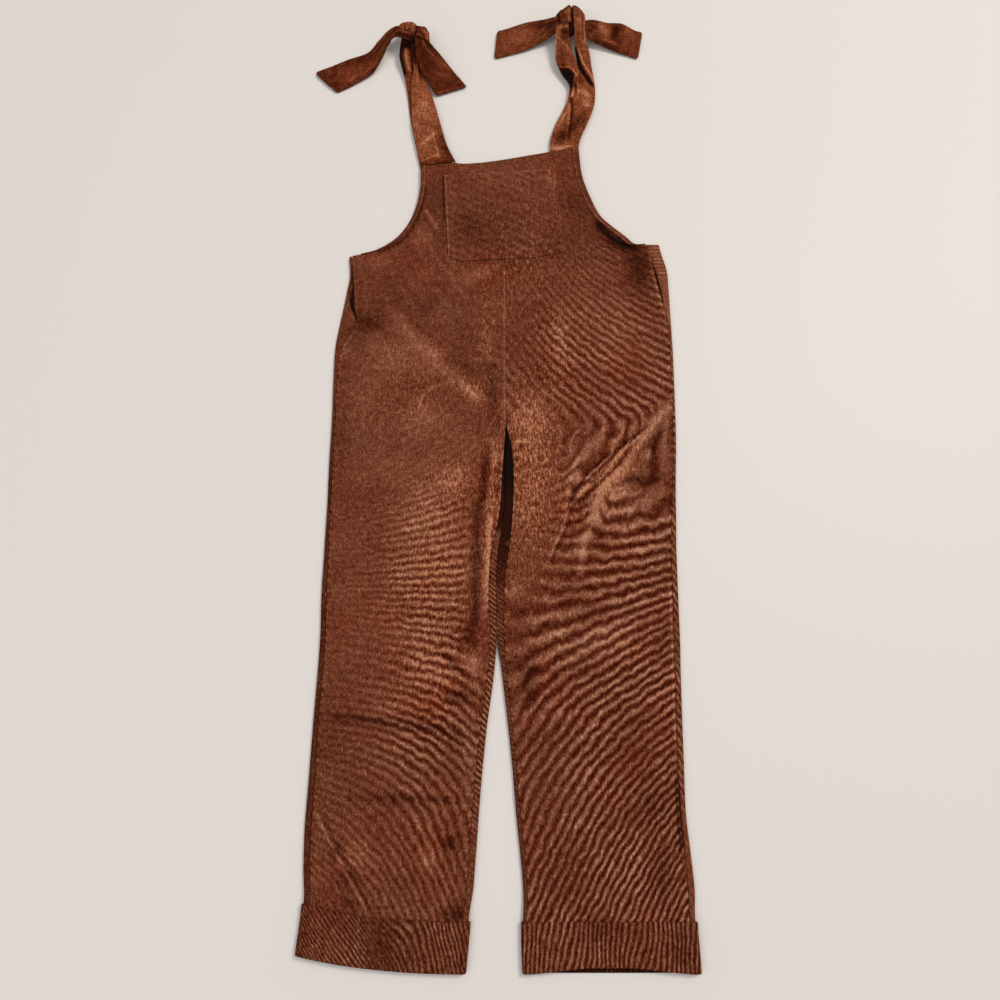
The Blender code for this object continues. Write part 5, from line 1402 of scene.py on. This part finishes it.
        "creases": (
            (((0.3, 0.3), (0.22, 1.4), (0.3, 2.3)), 0.002, 0.0008, 0.1),
            (((0.72, 2.6), (0.74, 3.8)), 0.0012, 0.0005, 0.34),
            (((0.08, 4.1), (0.4, 4.2), (0.8, 4.0)), 0.0022, -0.0006, -0.1),
        ),
        "spots": (
            (0.32, 2.7, 0.26, 0.42, 0.36), (0.34, 3.62, 0.32, 0.3, -0.46), (0.3, 1.6, 0.35, 0.5, -0.2),
            (0.2, 4.5, 0.2, 0.5, 0.16), (0.92, 3.0, 0.1, 1.6, -0.3),
        ),
    },
}


def stripFace(sections, u, v, crown, corner):
    # corner: share of the length and of the width taken by the rounded corners of a free end
    keys = np.arange(len(sections))
    left, right = (curve(keys, [row[k] for row in sections])(v * keys[-1]) for k in (0, 1))
    if corner:
        turn = np.clip(1.0 - (1.0 - v) / corner[0], 0.0, 1.0)
        inset = (corner[1] * (1.0 - np.sqrt(1.0 - turn**2)))[:, None]
        left, right = mix(left, right, inset), mix(right, left, inset)
    face = mix(left[:, None, :], right[:, None, :], u[None, :, None])
    face[..., 2] += crown[:, None] * np.sin(math.pi * u)[None, :] ** stripLook["crownPower"]
    return face


def makeRibbon(name, detail, crown, thickness=cloth["double"]):
    # a folded tube of cloth between its two edges, with its creases, pleats and lighter and darker places
    sections, isTie = detail["sections"], "tie" in name
    last = len(sections) - 1
    length = sum(math.dist(np.add(*a) / 2, np.add(*b) / 2) for a, b in zip(sections, sections[1:]))
    width = math.dist(*sections[(last + 1) // 2])
    rowLength = length / last
    u = places(1.0, stripLook["columnStep"] / width, stripLook["fold"] / width)
    v = places(1.0, stripLook["rowStep"] / length, stripLook["fold"] / length)
    corner = (stripLook["corner"] / length, stripLook["corner"] / width) if isTie else None
    face = stripFace(sections, u, v, crown * np.minimum(v / stripLook["crownWithin"], 1.0), corner)
    across, along = np.broadcast_arrays(u[None, :] * width, v[:, None] * length)
    (high, long, seed), fine = stripLook["ripples"]
    uneven = ripples(across, along, ((high, long, seed + len(name)), fine))
    strong, broad, seedStep = stripLook["mottle"]
    tone = detail["tone"] + ripples(across, along, ((strong, broad, seedStep * len(name)),))
    for route, size, height, change in detail["creases"]:
        route = [(share * width, row * rowLength) for share, row in route]
        shape = ridge(across, along, route, size, size, 1.0, *stripLook["creaseFade"])
        uneven += height * shape
        tone += change * shape
    spots = [(share * width, row * rowLength, halfU * width, halfV * rowLength, 0, change)
             for share, row, halfU, halfV, change in detail["spots"]]
    tone += patches(across, along, spots)
    count, start, end = detail["pleats"]
    row = v[:, None] * last
    gathered = ease(start, end, row) if start > 0 else 1.0 - ease(start, end, row)
    turns = count * u[None, :] + stripLook["pleatWander"] * np.sin(row)
    pleats = np.sin(2 * math.pi * turns + len(name)) * np.sin(math.pi * u)[None, :]
    face[..., 2] += uneven + stripLook["pleat"] * gathered * pleats
    # painted light and shade: lighter where the pleats rise
    tone += stripLook["pleatLightAndShade"] * gathered * pleats
    stripesAcross, stripesAlong = stripLook["stripes"]
    grain = layers(across, along, across * stripesAcross + along * stripesAlong)
    return clothShell(name + "_cloth", face, thickness, finishes["strap"], grain,
                      layers(tone, stripLook["strength"], stripLook["flecks"]),
                      (thickness / 2 if isTie else stripLook["end"], thickness / 2))


for name, detail in strips.items():
    piece = makeRibbon(name, detail, stripLook["crown"])
    fit(piece, name, ["floor"])


# Shoulder knots: turns of the straps, in the same words, around a packed middle.
# the packed middle is dark: painted shade, as it shows only deep between the turns
coreLook = {"segments": 48, "rings": 28, "groove": 0.07, "lowest": 0.0008,
            "stripes": 40, "look": (-0.75, 0.1, 0.0)}
knots = {
    "knot_left": {
        "middle": (-0.144, 1.38, 0.015), "half": (0.023, 0.017, 0.0135), "turn": -24,
        "turns": {
            "over": {
                "flat": (0.026, 0.042), "tone": 0.16, "crown": 0.005, "pleats": (3, 0.0, 9.0),
                "sections": (
                    ((-0.16, 1.404, 0.011), (-0.148, 1.4045, 0.011)),
                    ((-0.1655, 1.4, 0.021), (-0.1428, 1.4018, 0.021)),
                    ((-0.1668, 1.393, 0.027), (-0.1396, 1.395, 0.027)),
                    ((-0.1655, 1.386, 0.029), (-0.1386, 1.3868, 0.029)),
                    ((-0.163, 1.3795, 0.0285), (-0.14, 1.379, 0.0285)),
                    ((-0.16, 1.3755, 0.024), (-0.143, 1.374, 0.024)),
                ),
                "creases": (
                    (((0.3, 0.4), (0.34, 2.4), (0.3, 4.6)), 0.0013, -0.0012, -0.45),
                    (((0.62, 0.6), (0.7, 2.6), (0.6, 4.6)), 0.0012, -0.001, -0.36),
                    (((0.8, 1.2), (0.88, 3.2)), 0.0012, 0.0008, 0.2),
                ),
                "spots": (
                    (0.5, 0.3, 0.6, 0.5, -0.16), (0.45, 2.2, 0.2, 0.7, 0.16), (0.5, 4.8, 0.6, 0.4, -0.4),
                ),
            },
            "wrap": {
                "flat": (0.02, 0.038), "tone": -0.16, "crown": 0.0024, "pleats": (2, 0.0, 9.0),
                "sections": (
                    ((-0.1753, 1.3905, 0.02), (-0.175, 1.3785, 0.019)),
                    ((-0.1664, 1.3865, 0.0285), (-0.1647, 1.3675, 0.0265)),
                    ((-0.1565, 1.3822, 0.0305), (-0.1552, 1.362, 0.0285)),
                    ((-0.1466, 1.3781, 0.03), (-0.147, 1.3596, 0.028)),
                    ((-0.1404, 1.3753, 0.024), (-0.1426, 1.3628, 0.023)),
                ),
                "creases": (
                    (((0.3, 0.3), (0.45, 2.0), (0.4, 3.6)), 0.0018, 0.0008, 0.22),
                    (((0.7, 0.3), (0.78, 2.0), (0.75, 3.6)), 0.0018, -0.001, -0.3),
                ),
                "spots": ((0.8, 3.4, 0.4, 0.8, -0.5),),
            },
            "lobe": {
                "flat": (0.024, 0.036), "tone": -0.02, "crown": 0.0024, "pleats": (2, 0.0, 9.0),
                "sections": (
                    ((-0.1428, 1.3931, 0.029), (-0.138, 1.37, 0.029)),
                    ((-0.1358, 1.388, 0.0305), (-0.1314, 1.366, 0.029)),
                    ((-0.1305, 1.389, 0.0285), (-0.1257, 1.365, 0.0265)),
                    ((-0.1232, 1.3925, 0.023), (-0.1196, 1.366, 0.022)),
                    ((-0.118, 1.3904, 0.013), (-0.1169, 1.3715, 0.013)),
                ),
                "creases": (
                    (((0.1, 1.1), (0.6, 1.6), (0.95, 2.3)), 0.0014, -0.0014, -0.6),
                    (((0.1, 2.4), (0.6, 2.8), (0.95, 3.2)), 0.0014, 0.0006, 0.26),
                ),
                "spots": ((0.3, 0.6, 0.3, 0.4, -0.5), (0.7, 3.4, 0.4, 0.4, 0.2)),
            },
        },
    },
    "knot_right": {
        "middle": (0.1165, 1.409, 0.015), "half": (0.029, 0.019, 0.013), "turn": 68,
        "turns": {
            "lobe": {
                "flat": (0.03, 0.038), "tone": -0.04, "crown": 0.0024, "pleats": (2, 0.0, 9.0),
                "sections": (
                    ((0.0925, 1.4231, 0.016), (0.0955, 1.409, 0.016)),
                    ((0.0986, 1.4219, 0.027), (0.1003, 1.3975, 0.0265)),
                    ((0.1045, 1.4207, 0.0325), (0.1081, 1.3931, 0.0305)),
                    ((0.1141, 1.429, 0.033), (0.1152, 1.395, 0.031)),
                    ((0.1206, 1.438, 0.021), (0.1208, 1.4034, 0.021)),
                ),
                "creases": (
                    (((0.15, 1.4), (0.5, 1.9), (0.9, 2.3)), 0.0015, -0.0007, -0.26),
                    (((0.1, 3.3), (0.5, 3.0), (0.9, 2.7)), 0.0016, 0.0006, 0.3),
                    (((0.1, 0.6), (0.9, 0.8)), 0.0016, -0.0008, -0.34),
                ),
                "spots": ((0.6, 0.3, 0.6, 0.5, -0.4), (0.6, 2.7, 0.25, 0.5, 0.15)),
            },
        },
    },
}


def makeCore(name, knot):
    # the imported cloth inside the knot
    bpy.ops.object.select_all(action="DESELECT")
    bpy.ops.mesh.primitive_uv_sphere_add(segments=coreLook["segments"], ring_count=coreLook["rings"])
    piece = bpy.context.object
    piece.name = name + "_core"
    mesh = piece.data
    ball = np.empty(len(mesh.vertices) * 3)
    mesh.vertices.foreach_get("co", ball)
    ball = ball.reshape(-1, 3)
    wave = np.sin(7.0 * (ball[:, 0] + 0.3 * ball[:, 1]) + 1.0)
    groove = 1.0 - coreLook["groove"] * (0.5 + 0.5 * wave) ** 2
    x, y, z = (ball * groove[:, None] * np.array(knot["half"])).T
    placed = layers(*turned(x, y, -knot["turn"]), z) + np.array(knot["middle"]) - middle
    placed[:, 2] = np.maximum(placed[:, 2], coreLook["lowest"])
    mesh.vertices.foreach_set("co", placed.ravel())
    grain = layers(placed[:, 0], placed[:, 1], placed[:, 0] * coreLook["stripes"])
    dress(mesh, grain, flatList(coreLook["look"], grain.shape), finishes["strap"])
    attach(piece, "root")
    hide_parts(name)


for name, knot in knots.items():
    makeCore(name, knot)
    for turn, detail in knot["turns"].items():
        piece = makeRibbon(f"{name}_{turn}", detail, detail["crown"], cloth["wall"])
        fit(piece, name, [name + "_core"])
print("straps, ties and knots ready")


# Camera, floor and light.
view = {"place": (0.0270, -0.4294, 1.02), "tilt": 16.0, "lens": 27.36, "sensor": 36.0}
cameraData = bpy.data.cameras.new("camera")
cameraData.lens = view["lens"]
cameraData.sensor_width = view["sensor"]
camera = bpy.data.objects.new("camera", cameraData)
camera.location = view["place"]
camera.rotation_euler = (math.radians(view["tilt"]), 0.0, 0.0)
bpy.context.scene.collection.objects.link(camera)
bpy.context.scene.camera = camera

floorLook = {"size": 6.0, "below": 0.0002, "colour": (0.72, 0.67, 0.62), "roughness": 0.5, "shine": 0.2}
bpy.ops.object.select_all(action="DESELECT")
bpy.ops.mesh.primitive_plane_add(size=floorLook["size"], location=(0.0, 0.0, -floorLook["below"]))
floor = bpy.context.object
floor.name = "floor"
floorFinish = Finish("floorFinish")
floorFinish.connect(floorFinish.principled, {
    "Base Color": (*floorLook["colour"], 1.0), "Roughness": floorLook["roughness"],
    "Specular IOR Level": floorLook["shine"]})
floor.data.materials.append(floorFinish.material)

lights = {
    "keyLight": {"place": (3.3, 2.3, 5.0), "aim": (0.0, 0.1, 0.0), "size": 1.9, "power": 222.0,
                 "colour": (1.0, 0.95, 0.88)},
    "fillLight": {"place": (-2.0, -1.4, 3.2), "aim": (0.0, 0.0, 0.0), "size": 3.0, "power": 38.0,
                  "colour": (0.92, 0.96, 1.0)},
}
for name, light in lights.items():
    data = bpy.data.lights.new(name, "AREA")
    data.energy = light["power"]
    data.size = light["size"]
    data.color = light["colour"]
    lamp = bpy.data.objects.new(name, data)
    lamp.location = light["place"]
    x, y, z = np.array(light["aim"]) - np.array(light["place"])
    lamp.rotation_euler = (math.atan2(math.hypot(x, y), -z), 0.0, math.atan2(y, x) - math.pi / 2)
    bpy.context.scene.collection.objects.link(lamp)

studio = {"colour": (0.96, 0.97, 1.0, 1.0), "strength": 0.52}
world = bpy.data.worlds.new("studio")
bpy.context.scene.world = world
world.use_nodes = True
background = world.node_tree.nodes["Background"]
background.inputs["Color"].default_value = studio["colour"]
background.inputs["Strength"].default_value = studio["strength"]
bpy.context.scene.view_settings.view_transform = "Standard"
print("camera, floor and light ready")
